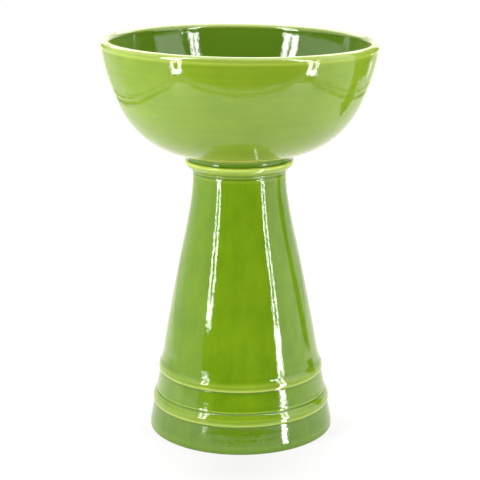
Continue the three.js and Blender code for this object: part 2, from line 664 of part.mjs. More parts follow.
function glandNut() {
  const endZ = GLAND_BOSS_END_Z - 5;
  const topZ = GLAND_BOSS_END_Z + 7;
  return hexNut(GLAND_NUT_RADIUS, endZ, topZ, [
    [RISER_RADIUS + CLEARANCE, endZ - CUT, GLAND_BOSS_END_Z],
    [GLAND_BOSS_RADIUS + CLEARANCE, GLAND_BOSS_END_Z - CLEARANCE, topZ + CUT],
  ]);
}

function bubblerLocknut() {
  const endZ = bubblerNutZ - 7;
  const bore = [BUBBLER_SHANK_RADIUS + CLEARANCE, endZ - 2 * CUT, bubblerNutZ + CUT];
  return hexNut(BUBBLER_NUT_RADIUS, endZ, bubblerNutZ, [bore]);
}

// The supply's threaded tail with a hexagon-sized collar and a neck that takes the riser.
function inletFitting() {
  const socketZ = INLET_TOP_Z - INLET_SOCKET_DEPTH;
  return turned([
    [RISER_BORE, PIPE_END_Z],
    [INLET_THREAD_RADIUS, PIPE_END_Z],
    [INLET_THREAD_RADIUS, INLET_TOP_Z - 26],
    [INLET_HEX_RADIUS, INLET_TOP_Z - 26],
    [INLET_HEX_RADIUS, INLET_TOP_Z - 14],
    [INLET_NECK_RADIUS, INLET_TOP_Z - 14],
    [INLET_NECK_RADIUS, INLET_TOP_Z],
    [RISER_RADIUS + CLEARANCE, INLET_TOP_Z],
    [RISER_RADIUS + CLEARANCE, socketZ],
    [RISER_BORE, socketZ],
  ]);
}

function compressionNut() {
  const endZ = INLET_TOP_Z - 10;
  const topZ = INLET_TOP_Z + 9;
  return hexNut(INLET_HEX_RADIUS, endZ, topZ, [
    [INLET_NECK_RADIUS + CLEARANCE, endZ - CUT, ferruleTopZ + CLEARANCE],
    [RISER_RADIUS + CLEARANCE, INLET_TOP_Z, topZ + CUT],
  ]);
}

function washer(bore, radius, topZ, thickness) {
  return ring(bore, radius, topZ - thickness, topZ);
}

function wastePipe() {
  const topZ = slipWasherEndZ - CLEARANCE;
  return ring(WASTE_BORE, WASTE_RADIUS, PIPE_END_Z, topZ).translate(0, WASTE_Y, 0);
}

function slipWasher() {
  return ring(WASTE_BORE, BRANCH_RADIUS, slipWasherEndZ, slipWasherZ).translate(0, WASTE_Y, 0);
}

function supplyRiser() {
  const topZ = shankEndZ + RISER_SOCKET_DEPTH - CLEARANCE;
  return ring(RISER_BORE, RISER_RADIUS, INLET_TOP_Z - 8, topZ);
}

function glandPacking() {
  const topZ = GLAND_BOSS_END_Z + PACKING_DEPTH - CLEARANCE;
  return ring(RISER_RADIUS + CLEARANCE, PACKING_RADIUS, GLAND_BOSS_END_Z + CLEARANCE, topZ);
}

function flangeGasket() {
  return ring(SHANK_RADIUS + 1, FLANGE_RADIUS - 1, recessZ + CLEARANCE, flangeZ - CLEARANCE);
}

function teeWasher() {
  return ring(TEE_BORE, SHANK_RADIUS - 1, teeCollarZ + CLEARANCE, SHANK_END_Z - CLEARANCE);
}

function bubblerBaseWasher() {
  const topZ = baseWasherZ + BASE_WASHER_THICKNESS;
  return ring(BUBBLER_SHANK_RADIUS + CLEARANCE, BASE_WASHER_RADIUS, baseWasherZ, topZ);
}

// ---- Assembly -----------------------------------------------------------------------------------

const group = new THREE.Group();

function add(name, geometry, material) {
  const mesh = new THREE.Mesh(geometry, material);
  mesh.name = name;
  group.add(mesh);
}

add('pedestal', pedestal(), GLAZE);
add('basin', basin(), GLAZE);
add('basin_bedding_ring', beddingRing(), RUBBER);

// Waste fitting and the stack that clamps the basin to the deck.
add('flange_gasket', flangeGasket(), RUBBER);
add('waste_body', wasteBody(), CHROME);
add('strainer_plate', strainerPlate(), CHROME);
add('clamp_washer', washer(SHANK_RADIUS + 1, CLAMP_RADIUS, clampWasherZ, CLAMP_WASHER_THICKNESS), RUBBER);
add('clamp_plate', washer(SHANK_RADIUS + CLEARANCE, CLAMP_RADIUS, clampPlateZ, CLAMP_PLATE_THICKNESS), STEEL);
add('waste_locknut', wasteLocknut(), BRASS);

// Waste tee under the shank, and the waste pipe behind the riser.
add('tee_washer', teeWasher(), RUBBER);
add('waste_tee', wasteTee(), BRASS);
add('tee_coupling_nut', teeCouplingNut(), BRASS);
add('slip_washer', slipWasher(), RUBBER);
add('slip_nut', slipNut(), BRASS);
add('waste_pipe', wastePipe(), CHROME);

// Supply riser, its gland under the tee and its inlet fitting near the floor.
add('gland_packing', glandPacking(), RUBBER);
add('gland_nut', glandNut(), BRASS);
add('supply_riser', supplyRiser(), CHROME);
add('inlet_fitting', inletFitting(), BRASS);
add('ferrule', ring(RISER_RADIUS + CLEARANCE, RISER_RADIUS + 2, ferruleZ, ferruleTopZ), BRASS);
add('compression_nut', compressionNut(), BRASS);

// Bubbler and its self-closing valve.
add('bubbler_base_washer', bubblerBaseWasher(), RUBBER);
add('bubbler_body', bubblerBody(), CHROME);
add('bubbler_locknut', bubblerLocknut(), BRASS);
add('mouth_guard', mouthGuard(), CHROME);
add('nozzle', nozzle(), CHROME);
add('bonnet', bonnet(), CHROME);
add('stem_guide', stemGuide(), BRASS);
add('push_button', pushButton(), CHROME);
add('valve_stem', valveStem(), STEEL);
add('valve_disc', valveDisc(), RUBBER);
add('valve_spring', valveSpring(), STEEL);
add('rear_plug', rearPlug(), CHROME);
add('regulator_screw', regulatorScrew(), STEEL);

export default group;
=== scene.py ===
"""Looks of the glazed ceramic pedestal drinking fountain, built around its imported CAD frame.

Metres, +Z up, origin at the centre of the foot. The user stands on the -Y side.
"""

import json
import math

import bpy
import numpy as np
from mathutils import Matrix, Vector, noise


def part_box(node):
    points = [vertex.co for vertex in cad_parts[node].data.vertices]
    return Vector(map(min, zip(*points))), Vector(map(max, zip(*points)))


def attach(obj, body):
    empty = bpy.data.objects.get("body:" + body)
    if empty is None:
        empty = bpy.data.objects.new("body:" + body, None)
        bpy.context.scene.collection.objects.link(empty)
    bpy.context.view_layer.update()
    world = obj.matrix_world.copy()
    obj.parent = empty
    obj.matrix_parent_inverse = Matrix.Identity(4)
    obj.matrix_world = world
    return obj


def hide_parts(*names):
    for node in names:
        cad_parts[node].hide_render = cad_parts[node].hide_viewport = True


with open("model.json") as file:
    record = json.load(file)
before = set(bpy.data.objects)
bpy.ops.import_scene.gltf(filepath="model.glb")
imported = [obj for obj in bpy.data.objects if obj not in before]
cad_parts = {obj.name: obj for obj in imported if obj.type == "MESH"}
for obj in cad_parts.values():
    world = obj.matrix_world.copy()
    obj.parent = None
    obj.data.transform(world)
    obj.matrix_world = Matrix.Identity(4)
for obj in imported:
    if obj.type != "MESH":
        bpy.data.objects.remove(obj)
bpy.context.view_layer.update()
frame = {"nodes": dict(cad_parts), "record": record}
scene = bpy.context.scene

MM = 0.001

# ---- Places taken from the frame ------------------------------------------------------------------

basin_low, basin_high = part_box("basin")
pedestal_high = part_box("pedestal")[1]
RIM_RADIUS = basin_high.x
RIM_ROUND = 7.5 * MM  # half of the wall's thickness at the rim
RIM_Z = basin_high.z - RIM_ROUND
FOOT_RING_Z = basin_low.z
LIP_TOP_Z = pedestal_high.z
FLOOR_RADIUS = pedestal_high.x

# ---- Shape of the basin ---------------------------------------------------------------------------

DEPTH_OUTSIDE = 168.2 * MM
DEPTH_INSIDE = 155 * MM
ROUNDNESS_R = 3.63  # the outline is (r / a)^3.63 + (depth / b)^1.5 = 1
ROUNDNESS_Z = 1.5
BASIN_HOLE_RADIUS = 30.2 * MM
RECESS_RADIUS = 49 * MM
RECESS_DEPTH = 3 * MM
FOOT_RING_OUTER = 77.5 * MM
FOOT_RING_COVE = 7 * MM
JOINT_PROFILE = (  # outwards, upwards and rounding in millimetres, where glaze has closed the joint
    (1.9, 7.3, 3),
    (1.7, 1.4, 2),
    (3.9, -0.15, 0.2),
    (0.5, -1.1, 0.2),
    (0, -2, 0.5),
)
FOOT_RING_INNER = 60 * MM

# ---- Shape of the pedestal ------------------------------------------------------------------------

FOOT_INNER = 130 * MM
FOOT_PROFILE = ((0, 0, 1.5), (-0.8, 9, 3))  # outwards, upwards and rounding in millimetres
LOWER_BAND_Z = 43 * MM  # sharp lower edge of each raised band
UPPER_BAND_Z = 94.5 * MM
LOWER_BAND_RADIUS = 138.9 * MM
UPPER_BAND_RADIUS = 129 * MM
BAND_PROFILE = (  # outwards, upwards and rounding in millimetres, from a band's lower edge
    (-1.8, -2.0, 0.5),
    (-0.2, -0.5, 0.4),
    (0, 2, 1.2),
    (-1, 8, 2.5),
    (-2.8, 12, 2),
    (-4.8, 16, 1),
)
RIDGE_Z = 62 * MM  # a fine raised line above the lower band
RIDGE_RADIUS = 133.4 * MM
RIDGE_PROFILE = ((-0.7, -2.0, 0.6), (0, 0, 1), (-1.2, 2.6, 1))
CONE_TOP = Vector((72.2 * MM, 404.5 * MM))
CONE_FOOT = Vector((121.2 * MM, 122.5 * MM))
CONE_FOOT_PULL = Vector((-26.6 * MM, 162 * MM))
CONE_TOP_PULL = Vector((0, -55 * MM))
CREASE_RADIUS = 71 * MM
COLLAR_PROFILE = (  # outwards, upwards and rounding in millimetres, from the crease under the collar
    (1.2, 1.2, 1.5),
    (0.7, 2.4, 1),
    (0.7, 4.6, 1),
    (2.4, 5.6, 0.8),
    (3.2, 7, 0.8),
    (3, 8.2, 0.5),
    (9, 12, 3),
)
LIP_ROUND = 3 * MM
LIP_RADIUS = 84.2 * MM
DECK_Z = FOOT_RING_Z - 3 * MM
DECK_THICKNESS = 14 * MM
NECK_INNER = 59 * MM

# ---- Fittings in the bowl, in millimetres ---------------------------------------------------------

FLANGE_RADIUS = 46
FLANGE_THICKNESS = 3
FLANGE_EDGE = 1.6  # its thickness at the outer edge
SHANK_RADIUS = 29
SHANK_BORE = 25.5
STRAINER_REBATE = 2.6
STRAINER_RADIUS = 27.6
STRAINER_THICKNESS = 2
STRAINER_HOLE_RADIUS = 3
STRAINER_HOLE_COUNT = 12
STRAINER_HOLE_CIRCLE = 21
SPIDER_ARM_COUNT = 3
SPIDER_ARM_WIDTH = 5
SPIDER_DEPTH = 9
SPIDER_BOSS_RADIUS = 14
SHANK_HOLE_RADIUS = 9.4  # where the bubbler's shank passes
COLUMN_SHANK_RADIUS = 9
COLUMN_BASE_RADIUS = 18
COLUMN_BASE_THICKNESS = 3
COLUMN_RADIUS = 12.5
SPIGOT_RADIUS = 8
SPIGOT_HEIGHT = 9
GUARD_RADIUS = 19
GUARD_WALL = 2
GUARD_FLOOR = 2.5
GUARD_BORE = 8.3
GUARD_DOME_RISE = 24.7  # the dome's centre above the guard's underside
GUARD_CUT_RISE = 11
GUARD_CUT_Y = 2
GUARD_CUT_DEGREES = -28
NOZZLE_PROFILE = ((11, 0), (11, 3, 2), (9.5, 9, 3), (6.5, 14, 3), (0, 15))
JET_RADIUS = 1.8
JET_START = (0, 0, 4)
JET_END = (0, -7, 20)
VALVE_ENDS_Y = 22
BONNET_BORE = 12.8
BONNET_WALL = 2.5
BONNET_LIP = 3
BONNET_EDGE = 1.5
BUTTON_RADIUS = 8.9
BUTTON_FLANGE_RADIUS = 11.3
BUTTON_FLANGE = 2
BUTTON_DISH = 0.5
PLUG_RADIUS = 7.7
PLUG_HEAD_RADIUS = 11
PLUG_HEAD_LENGTH = 4.7
REGULATOR_RADIUS = 3
REGULATOR_HEAD_RADIUS = 5
REGULATOR_HEAD_LENGTH = 3
SLOT_WIDTH = 1.2

# ---- How far the hand-made pieces stray from true -------------------------------------------------

RIM_DROP = 2.6 * MM  # the rim is this much lower on the +X side, and higher on the -X side
BASIN_SHIFT = -1.0 * MM  # the basin sits this much off the axis, at its foot
FOOT_SHIFT = 1.4 * MM  # and the pedestal's foot this much the other way
WALL_WAVE = 0.35 * MM  # slow unevenness of the walls
THROWING_WAVE = 0.05 * MM  # height of the throwing rings
WAVE_SCALE = Vector((11, 11, 9))
THROWING_SCALE = Vector((4, 4, 160))
BASIN_SEED = 3.1
PEDESTAL_SEED = 8.7

# ---- Mesh detail ----------------------------------------------------------------------------------

CERAMIC_SEGMENTS = 224
FITTING_SEGMENTS = 72
HOLE_SEGMENTS = 24
HEX_SEGMENTS = 6
EDGE_ROUND = 0.35 * MM  # rounding of the fittings' edges
EDGE_ANGLE = math.radians(32)  # edges sharper than this are rounded
LONGEST_STEP = 1.9 * MM  # along a glazed outline
EDGE_REACH = 2.2 * MM  # how far along the outline an edge's thin glaze, and a crease's pooled glaze and painted shade, spread
RIM_PALE_INSIDE = 8 * MM  # how far down from its crest the rim's glaze is thin and its painted highlight reaches
RIM_PALE_OUTSIDE = 14 * MM
INSIDE_DARKENS = 9 * MM  # how far down inside the glaze reaches its full thickness, and the painted shade its full depth
FOOT_CLEAR = 6 * MM  # the pedestal's glaze isn't thin below this height
JOINT_TOP_Z = LIP_TOP_Z + 8 * MM  # nor the basin's below this one, where its colour is darker: thicker glaze with painted shade in the joint
FOOT_DARKENING = 0.4  # share of the darker colour on the pedestal's lowest belt
FOOT_DARKENING_FADE = 6 * MM  # it fades out over this height, up to the lower band
BARE_MARGIN = 4 * MM  # between the pedestal's bare inner wall and the glazed outer one

# ---- Camera ---------------------------------------------------------------------------------------

CAMERA_PLACE = Vector((0, -2.1764, 0.8748))
CAMERA_PITCH = 14.865  # degrees below the horizon
CAMERA_LENS = 109

# ---- Studio ---------------------------------------------------------------------------------------

TABLE_FRONT_LEFT = Vector((-0.885, -0.78))
TABLE_FRONT_RIGHT = Vector((0.96, -0.78))
TABLE_BACK_Y = 2.6
TABLE_LINES = ((0.0, 0.06), (0.12, 0.16))  # two dark lines of painted shade along its edge: start and end of each
TABLE_SHADOW_PLACE = Vector((0, -0.2, 0))  # where the table top's painted shadow is darkest
TABLE_GLOW_REACH = 0.5  # how far from there the painted shadow fades out
# the table top's glow in its painted shadow, and far from it
TABLE_GLOW = 0.585
TABLE_GLOW_FAR = 0.9
TABLE_LINE_GLOW = 0.15
STRIP_BREAK_Z = 0.66  # the softboxes lean: above this height they stand at another azimuth
STRIP_TOP = 2.2
STRIP_JOIN = 0.06
STRIP_RADIANCE = 22
STRIPS = (  # name, azimuth, distance, bottom, top, half width in degrees, and share of it that is the gap
    ("left_strip", -48.5, 1.0, 0.2, STRIP_BREAK_Z, 4.6, 0.45),
    ("left_strip_top", -52, 1.0, STRIP_BREAK_Z, STRIP_TOP, 8, 0.22),
    ("right_strip", 56.5, 1.15, 0.12, STRIP_BREAK_Z, 4.1, 0.45),
    ("right_strip_top", 48.5, 1.15, STRIP_BREAK_Z, STRIP_TOP, 4.5, 0.22),
)
# The right strip goes on down to the table in the pedestal's mirror alone: name, azimuth from and to,
# bottom, top, radiance and distance.
STRIP_FOOT = ("right_strip_foot", 52.4, 60.6, 0, 0.12, STRIP_RADIANCE, 1.15)
GLEAM_START = 0.134  # the gleams on the table top are reckoned from this distance off the axis
GLEAM_HEIGHT = 0.001
GLEAM_SPREAD = 0.03
GLEAMS = (  # name, azimuth, and where it begins and ends
    ("left_gleam", -46, 0.78, 0.95),
    ("right_gleam", 56, 0.12, 0.92),
)
KEYS = (("left_key", -50, 19), ("right_key", 50, 14.5))  # name, azimuth and energy
KEY_WIDTH = 0.4
KEY_HEIGHT = 1.2
KEY_DISTANCE = 1.1
KEY_Z = 0.52
ROOM_DISTANCE = 1.7
CARD_STEP = 5  # degrees between the folds of a curved card
ROOM_CARDS = (  # name, azimuth from and to, bottom, top and radiance
    ("dark_room", -56, 60, -3.0, 2.5, 0.03),
    ("left_wall", -116, -58, -0.3, 0.5, 0.8),
    ("left_wall_top", -116, -61, 0.5, 2.5, 1.4),
    ("right_wall", 62, 116, -0.3, 0.5, 1.2),
    ("right_wall_top", 58, 116, 0.5, 2.5, 2.2),
    ("left_corner", -150, -130, 0.55, 0.9, 0.1),
    ("back_light", 130, 230, 1.3, 3.2, 5),
)
BACKDROP = ("backdrop", 146, 214, 0.0, 1.3, 1.7)  # the same six, for the card that whitens the rim's crest
BRIGHT_CARD = 5  # a card this bright or brighter is seen in reflections but lights nothing
FLAG_DISTANCE = 0.8
DARK_FLAG = (  # corners of a black cloth, as azimuth and height
    (120, -0.02),
    (117, 0.15),
    (111, 0.29),
    (121, 0.33),
    (120, 0.44),
    (140, 0.55),
    (140, 1.0),
    (94, 1.0),
    (95, 0.42),
    (103, 0.17),
    (106, 0.05),
)
FLAG_RADIANCE = 0.02
SLIT = ((124.5, 0.33), (127, 0.33), (127, 0.42), (124.5, 0.42))  # a bright gap beside the cloth
SLIT_RADIANCE = 3
OVERHEAD_X = 0.9
OVERHEAD_FRONT_Y = -0.7
OVERHEAD_BACK_Y = 1.3
OVERHEAD_Z = 2.3
OVERHEAD_RADIANCE = 3.5
WORLD_STRENGTH = 1.0


# ---- Outlines -------------------------------------------------------------------------------------


def arc(r, z, radius, start, end, steps):
    """Points on an arc; the angles are in degrees from +r towards +z."""
    angles = [math.radians(start + (end - start) * i / steps) for i in range(steps + 1)]
    return [(r + radius * math.cos(a), z + radius * math.sin(a)) for a in angles]


def bowl_curve(half_width, depth, end_radius, steps):
    """The basin's rounded outline from just under its rim down to a radius."""
    end = math.acos((end_radius / half_width) ** (ROUNDNESS_R / 2))
    points = []
    for i in range(1, steps + 1):
        angle = end * i / steps
        radius = half_width * math.cos(angle) ** (2 / ROUNDNESS_R)
        points.append((radius, RIM_Z - depth * math.sin(angle) ** (2 / ROUNDNESS_Z)))
    return points


def cone_curve(steps):
    """The S-shaped side of the pedestal, from the upper band to the neck."""
    pulls = [CONE_FOOT, CONE_FOOT + CONE_FOOT_PULL, CONE_TOP + CONE_TOP_PULL, CONE_TOP]
    points = []
    for i in range(steps + 1):
        t = i / steps
        weights = ((1 - t) ** 3, 3 * t * (1 - t) ** 2, 3 * t**2 * (1 - t), t**3)
        point = sum((w * p for w, p in zip(weights, pulls)), Vector((0, 0)))
        points.append((point.x, point.y))
    return points


def rounded(points, radius, steps=4):
    """An outline with every inner corner rounded. A point may carry its own radius as a third value."""
    result = [points[0][:2]]
    for before, corner, after in zip(points, points[1:], points[2:]):
        here = Vector(corner[:2])
        back = Vector(before[:2]) - here
        on = Vector(after[:2]) - here
        own = corner[2] if len(corner) > 2 else radius
        cut = min(own, 0.45 * back.length, 0.45 * on.length)
        first = here + back.normalized() * cut
        last = here + on.normalized() * cut
        for i in range(steps + 1):
            t = i / steps
            point = first * (1 - t) ** 2 + here * (2 * t * (1 - t)) + last * t**2
            result.append((point.x, point.y))
    result.append(points[-1][:2])
    return result


def subdivided(points, longest):
    """The same closed outline with no step longer than `longest`."""
    result = []
    for start, end in zip(points, points[1:] + points[:1]):
        gap = math.dist(start, end)
        if gap < 1e-6:
            continue
        steps = max(1, math.ceil(gap / longest))
        for i in range(steps):
            t = i / steps
            result.append((start[0] + (end[0] - start[0]) * t, start[1] + (end[1] - start[1]) * t))
    return result


def bending(points, reach):
    """How sharply a closed outline turns around each point: above 0 over an edge, below 0 in a crease."""
    spots = np.array(points)
    steps = np.roll(spots, -1, axis=0) - spots
    lengths = np.hypot(steps[:, 0], steps[:, 1])
    headings = np.arctan2(steps[:, 1], steps[:, 0])
    turns = (headings - np.roll(headings, 1) + math.pi) % (2 * math.pi) - math.pi
    places = np.concatenate([[0], np.cumsum(lengths)[:-1]])
    around = lengths.sum()
    result = []
    for place in places:
        gaps = np.abs(places - place)
        gaps = np.minimum(gaps, around - gaps)
        result.append(float((turns * np.exp(-((gaps / reach) ** 2))).sum()))
    return result


# ---- Meshes ---------------------------------------------------------------------------------------


def turned(outline, segments):
    """A closed outline of (radius, height) turned about Z, as vertices and faces."""
    count = len(outline)
    vertices = []
    for i in range(segments):
        angle = 2 * math.pi * i / segments
        cosine, sine = math.cos(angle), math.sin(angle)
        vertices += [(r * cosine, r * sine, z) for r, z in outline]
    faces = []
    for i in range(segments):
        here, there = i * count, (i + 1) % segments * count
        for j in range(count):
            k = (j + 1) % count
            faces.append((here + j, there + j, there + k, here + k))
    return vertices, faces


def turned_solid(outline, segments=FITTING_SEGMENTS):
    """Like `turned`, for an outline in millimetres that starts and ends on the axis."""
    inner = [(r * MM, z * MM) for r, z in outline[1:-1]]
    count = len(inner)
    vertices, faces = turned(inner, segments)
    faces = [face for i, face in enumerate(faces) if i % count != count - 1]
    for (_, z), ring in ((outline[0], 0), (outline[-1], count - 1)):
        hub = len(vertices)
        vertices.append((0, 0, z * MM))
        for i in range(segments):
            here, there = i * count + ring, (i + 1) % segments * count + ring
            faces.append((hub, there, here) if ring == 0 else (hub, here, there))
    return vertices, faces


def rod(radius, low, high, segments=FITTING_SEGMENTS):
    """A solid round rod about Z, in millimetres."""
    return turned_solid([(0, low), (radius, low), (radius, high), (0, high)], segments)


def turned_ring(outline):
    """Like `turned`, for an outline in millimetres that closes on itself."""
    return turned([(r * MM, z * MM) for r, z in outline], FITTING_SEGMENTS)


def block(low, high):
    """A box between two corners in millimetres, as vertices and faces."""
    xs, ys, zs = zip(low, high)
    vertices = [(x * MM, y * MM, z * MM) for x in xs for y in ys for z in zs]
    faces = [(0, 1, 3, 2), (4, 6, 7, 5), (0, 4, 5, 1), (2, 3, 7, 6), (0, 2, 6, 4), (1, 5, 7, 3)]
    return vertices, faces


def posed(shape, pose):
    """A shape moved by a matrix."""
    vertices, faces = shape
    return [pose @ Vector(vertex) for vertex in vertices], faces


def joined(*shapes):
    """Several shapes as one."""
    vertices, faces = [], []
    for more_vertices, more_faces in shapes:
        start = len(vertices)
        vertices += more_vertices
        faces += [tuple(start + i for i in face) for face in more_faces]
    return vertices, faces


def new_object(name, shape):
    """A new smooth-shaded object from vertices and faces."""
    mesh = bpy.data.meshes.new(name)
    mesh.from_pydata(shape[0], [], shape[1])
    mesh.shade_smooth()
    mesh.validate()
    obj = bpy.data.objects.new(name, mesh)
    scene.collection.objects.link(obj)
    return obj


def cut_and_rounded(obj, cutter_shape):
    """Cuts a shape away from an object, if one is given, and rounds the object's sharp edges."""
    if cutter_shape:
        cutter = new_object("cutter", cutter_shape)
        cut = obj.modifiers.new("cut", "BOOLEAN")
        cut.object = cutter
        cut.solver = "EXACT"
    edges = obj.modifiers.new("edges", "BEVEL")
    edges.width = EDGE_ROUND
    edges.segments = 3
    edges.limit_method = "ANGLE"
    edges.angle_limit = EDGE_ANGLE
    mesh = bpy.data.meshes.new_from_object(obj.evaluated_get(bpy.context.evaluated_depsgraph_get()))
    obj.modifiers.clear()
    obj.data = mesh
    mesh.shade_smooth()
    mesh.set_sharp_from_angle(angle=EDGE_ANGLE)
    if cutter_shape:
        bpy.data.objects.remove(cutter)


def note(obj, label, values):
    """Stores one value per outline point on every vertex of a turned object."""
    attribute = obj.data.attributes.new(label, "FLOAT", "POINT")
    attribute.data.foreach_set("value", values * CERAMIC_SEGMENTS)


def note_glaze(obj, outline, rim, darkening, lowest_edge):
    """Notes where the glaze runs thin over edges and the rim, with a painted highlight on the rim, pools in
    creases, with painted shade in them, and where its colour is darker: thicker glaze, and painted shade in
    the basin.
    """
    bends = bending(outline, EDGE_REACH)
    thin = [bend if z > lowest_edge else 0.0 for bend, (_, z) in zip(bends, outline)]
    note(obj, "thin_glaze_and_highlight", [min(max(edge, share, 0), 1) for edge, share in zip(thin, rim)])
    note(obj, "pooled_glaze_and_shade", [min(max(-bend, 0), 1) for bend in bends])
    note(obj, "darker_glaze", darkening)


def smoothstep(value, low, high):
    """0 below `low`, 1 above `high`, and a smooth rise between them."""
    t = min(max((value - low) / (high - low), 0), 1)
    return t * t * (3 - 2 * t)


def thin_glaze_and_highlight_on_rim(outline):
    """How thin the glaze is on the basin's rim, and how strong its painted highlight: most on its crest,
    and further down on the outside.
    """
    heights = [z for _, z in outline]
    crest = heights.index(max(heights))
    reaches = [RIM_PALE_INSIDE if i < crest else RIM_PALE_OUTSIDE for i in range(len(outline))]
    top = heights[crest]
    return [1 - smoothstep(top - z, 0.2 * reach, reach) for z, reach in zip(heights, reaches)]


def thick_and_shaded_in_basin(outline):
    """1 on the basin's inner wall, falling to 0 at the crest of the rim, and 1 again in the joint below:
    thicker glaze, and painted shade inside the bowl and in the joint.
    """
    heights = [z for _, z in outline]
    crest = heights.index(max(heights))
    shares = []
    for i, z in enumerate(heights):
        inside = smoothstep(heights[crest] - z, 0, INSIDE_DARKENS) if i < crest else 0.0
        shares.append(1.0 if z < JOINT_TOP_Z else inside)
    return shares


def darker_at_foot(outline):
    """The pedestal's lowest belt is darker."""
    start = LOWER_BAND_Z - FOOT_DARKENING_FADE
    return [FOOT_DARKENING * (1 - smoothstep(z, start, LOWER_BAND_Z)) for _, z in outline]


def reshape(obj, move):
    """Moves every vertex by what `move` gives for its place."""
    for vertex in obj.data.vertices:
        vertex.co += move(vertex.co)
    obj.data.update()


def outward(place, amount):
    """A step of that length away from the Z axis."""
    reach = math.hypot(place.x, place.y)
    return Vector((place.x / reach * amount, place.y / reach * amount, 0))


def wall_unevenness(place, seed):
    """Slow waves left by the hand and the fire, and faint throwing rings."""
    slow = noise.noise(place * WAVE_SCALE + Vector((seed, 0, 0)))
    rings = noise.noise(place * THROWING_SCALE + Vector((0, seed, 0)))
    return outward(place, WALL_WAVE * slow + THROWING_WAVE * rings)


# ---- Material helpers -----------------------------------------------------------------------------


class Nodes:
    """Builds a material's node tree, one short call per node."""

    def __init__(self, name):
        self.material = bpy.data.materials.new(name)
        self.material.use_nodes = True
        self.tree = self.material.node_tree
        self.shader = self.tree.nodes["Principled BSDF"]
        self.coordinates = self.tree.nodes.new("ShaderNodeTexCoord").outputs["Object"]

    def add(self, kind, inputs=(), **settings):
        node = self.tree.nodes.new(kind)
        for key, value in settings.items():
            setattr(node, key, value)
        for key, value in dict(inputs).items():
            self.put(node.inputs[key], value)
        return node

    def put(self, socket, value):
        if isinstance(value, bpy.types.NodeSocket):
            self.tree.links.new(value, socket)
        else:
            socket.default_value = value

    def noise(self, scale, detail=2.0, roughness=0.5, stretch=(1, 1, 1)):
        mapping = self.add("ShaderNodeMapping", {"Vector": self.coordinates, "Scale": stretch})
        inputs = {"Vector": mapping.outputs[0], "Scale": scale, "Detail": detail, "Roughness": roughness}
        return self.add("ShaderNodeTexNoise", inputs).outputs["Fac"]

    def dots(self, scale, radius):
        """1 in small round dots scattered over the surface, 0 between them."""
        cells = self.add("ShaderNodeTexVoronoi", {"Vector": self.coordinates, "Scale": scale})
        return self.ramp(cells.outputs["Distance"], radius, radius * 0.5)

    def ramp(self, value, low, high, to_low=0.0, to_high=1.0):
        inputs = {"Value": value, "From Min": low, "From Max": high, "To Min": to_low, "To Max": to_high}
        return self.add("ShaderNodeMapRange", inputs).outputs[0]

    def mix(self, factor, first, second):
        node = self.tree.nodes.new("ShaderNodeMix")
        node.data_type = "RGBA"
        self.put(node.inputs["Factor"], factor)
        self.put(node.inputs[6], first)
        self.put(node.inputs[7], second)
        return node.outputs[2]

    def math(self, operation, first, second):
        node = self.tree.nodes.new("ShaderNodeMath")
        node.operation = operation
        self.put(node.inputs[0], first)
        self.put(node.inputs[1], second)
        return node.outputs[0]

    def attribute(self, name):
        return self.add("ShaderNodeAttribute", attribute_name=name).outputs["Fac"]

    def bump(self, height, distance, strength=1.0, normal=None):
        inputs = {"Height": height, "Distance": distance, "Strength": strength}
        if normal:
            inputs["Normal"] = normal
        return self.add("ShaderNodeBump", inputs).outputs[0]

    def shade(self, **values):
        for key, value in values.items():
            self.put(self.shader.inputs[key.replace("_", " ")], value)
        return self.material


def srgb(red, green, blue):
    """A colour given as 0-255 screen values, as the shader's linear values."""
    linear = [((c / 255 + 0.055) / 1.055) ** 2.4 if c > 10 else c / 255 / 12.92 for c in (red, green, blue)]
    return (*linear, 1.0)


# ---- Materials ------------------------------------------------------------------------------------

BASIN_GLAZE = (srgb(101, 127, 26), srgb(119, 144, 34), srgb(84, 118, 22))  # body, lighter tone, and a darker colour: thicker glaze, which in the basin also paints the shade inside it and in its joint
PEDESTAL_GLAZE = (srgb(82, 113, 9), srgb(104, 134, 16), srgb(60, 90, 18))
# pale where glaze breaks thin over edges, and for specks; on the basin's rim it also paints the highlight
GLAZE_THIN_AND_LIT = srgb(172, 188, 78)
# darker where glaze pools in creases, which also paints the shade in them
GLAZE_POOLED_AND_SHADED = srgb(68, 100, 16)
BASIN_BRUSHING = (7, 7, 150)  # how fine the brush marks are along X, Y and Z: the basin's run round it
PEDESTAL_BRUSHING = (60, 60, 4)  # and the pedestal's run up and down
CLOUD_SCALE = 24
SPECK_SCALE = 60
SPECK_STRENGTH = 0.5
PEEL_SCALE = 260
PEEL_DEPTH = 0.16 * MM
RIPPLE_SCALE = 38
RIPPLE_DEPTH = 0.5 * MM
PINHOLE_SCALE = 95
PINHOLE_DEPTH = 0.2 * MM


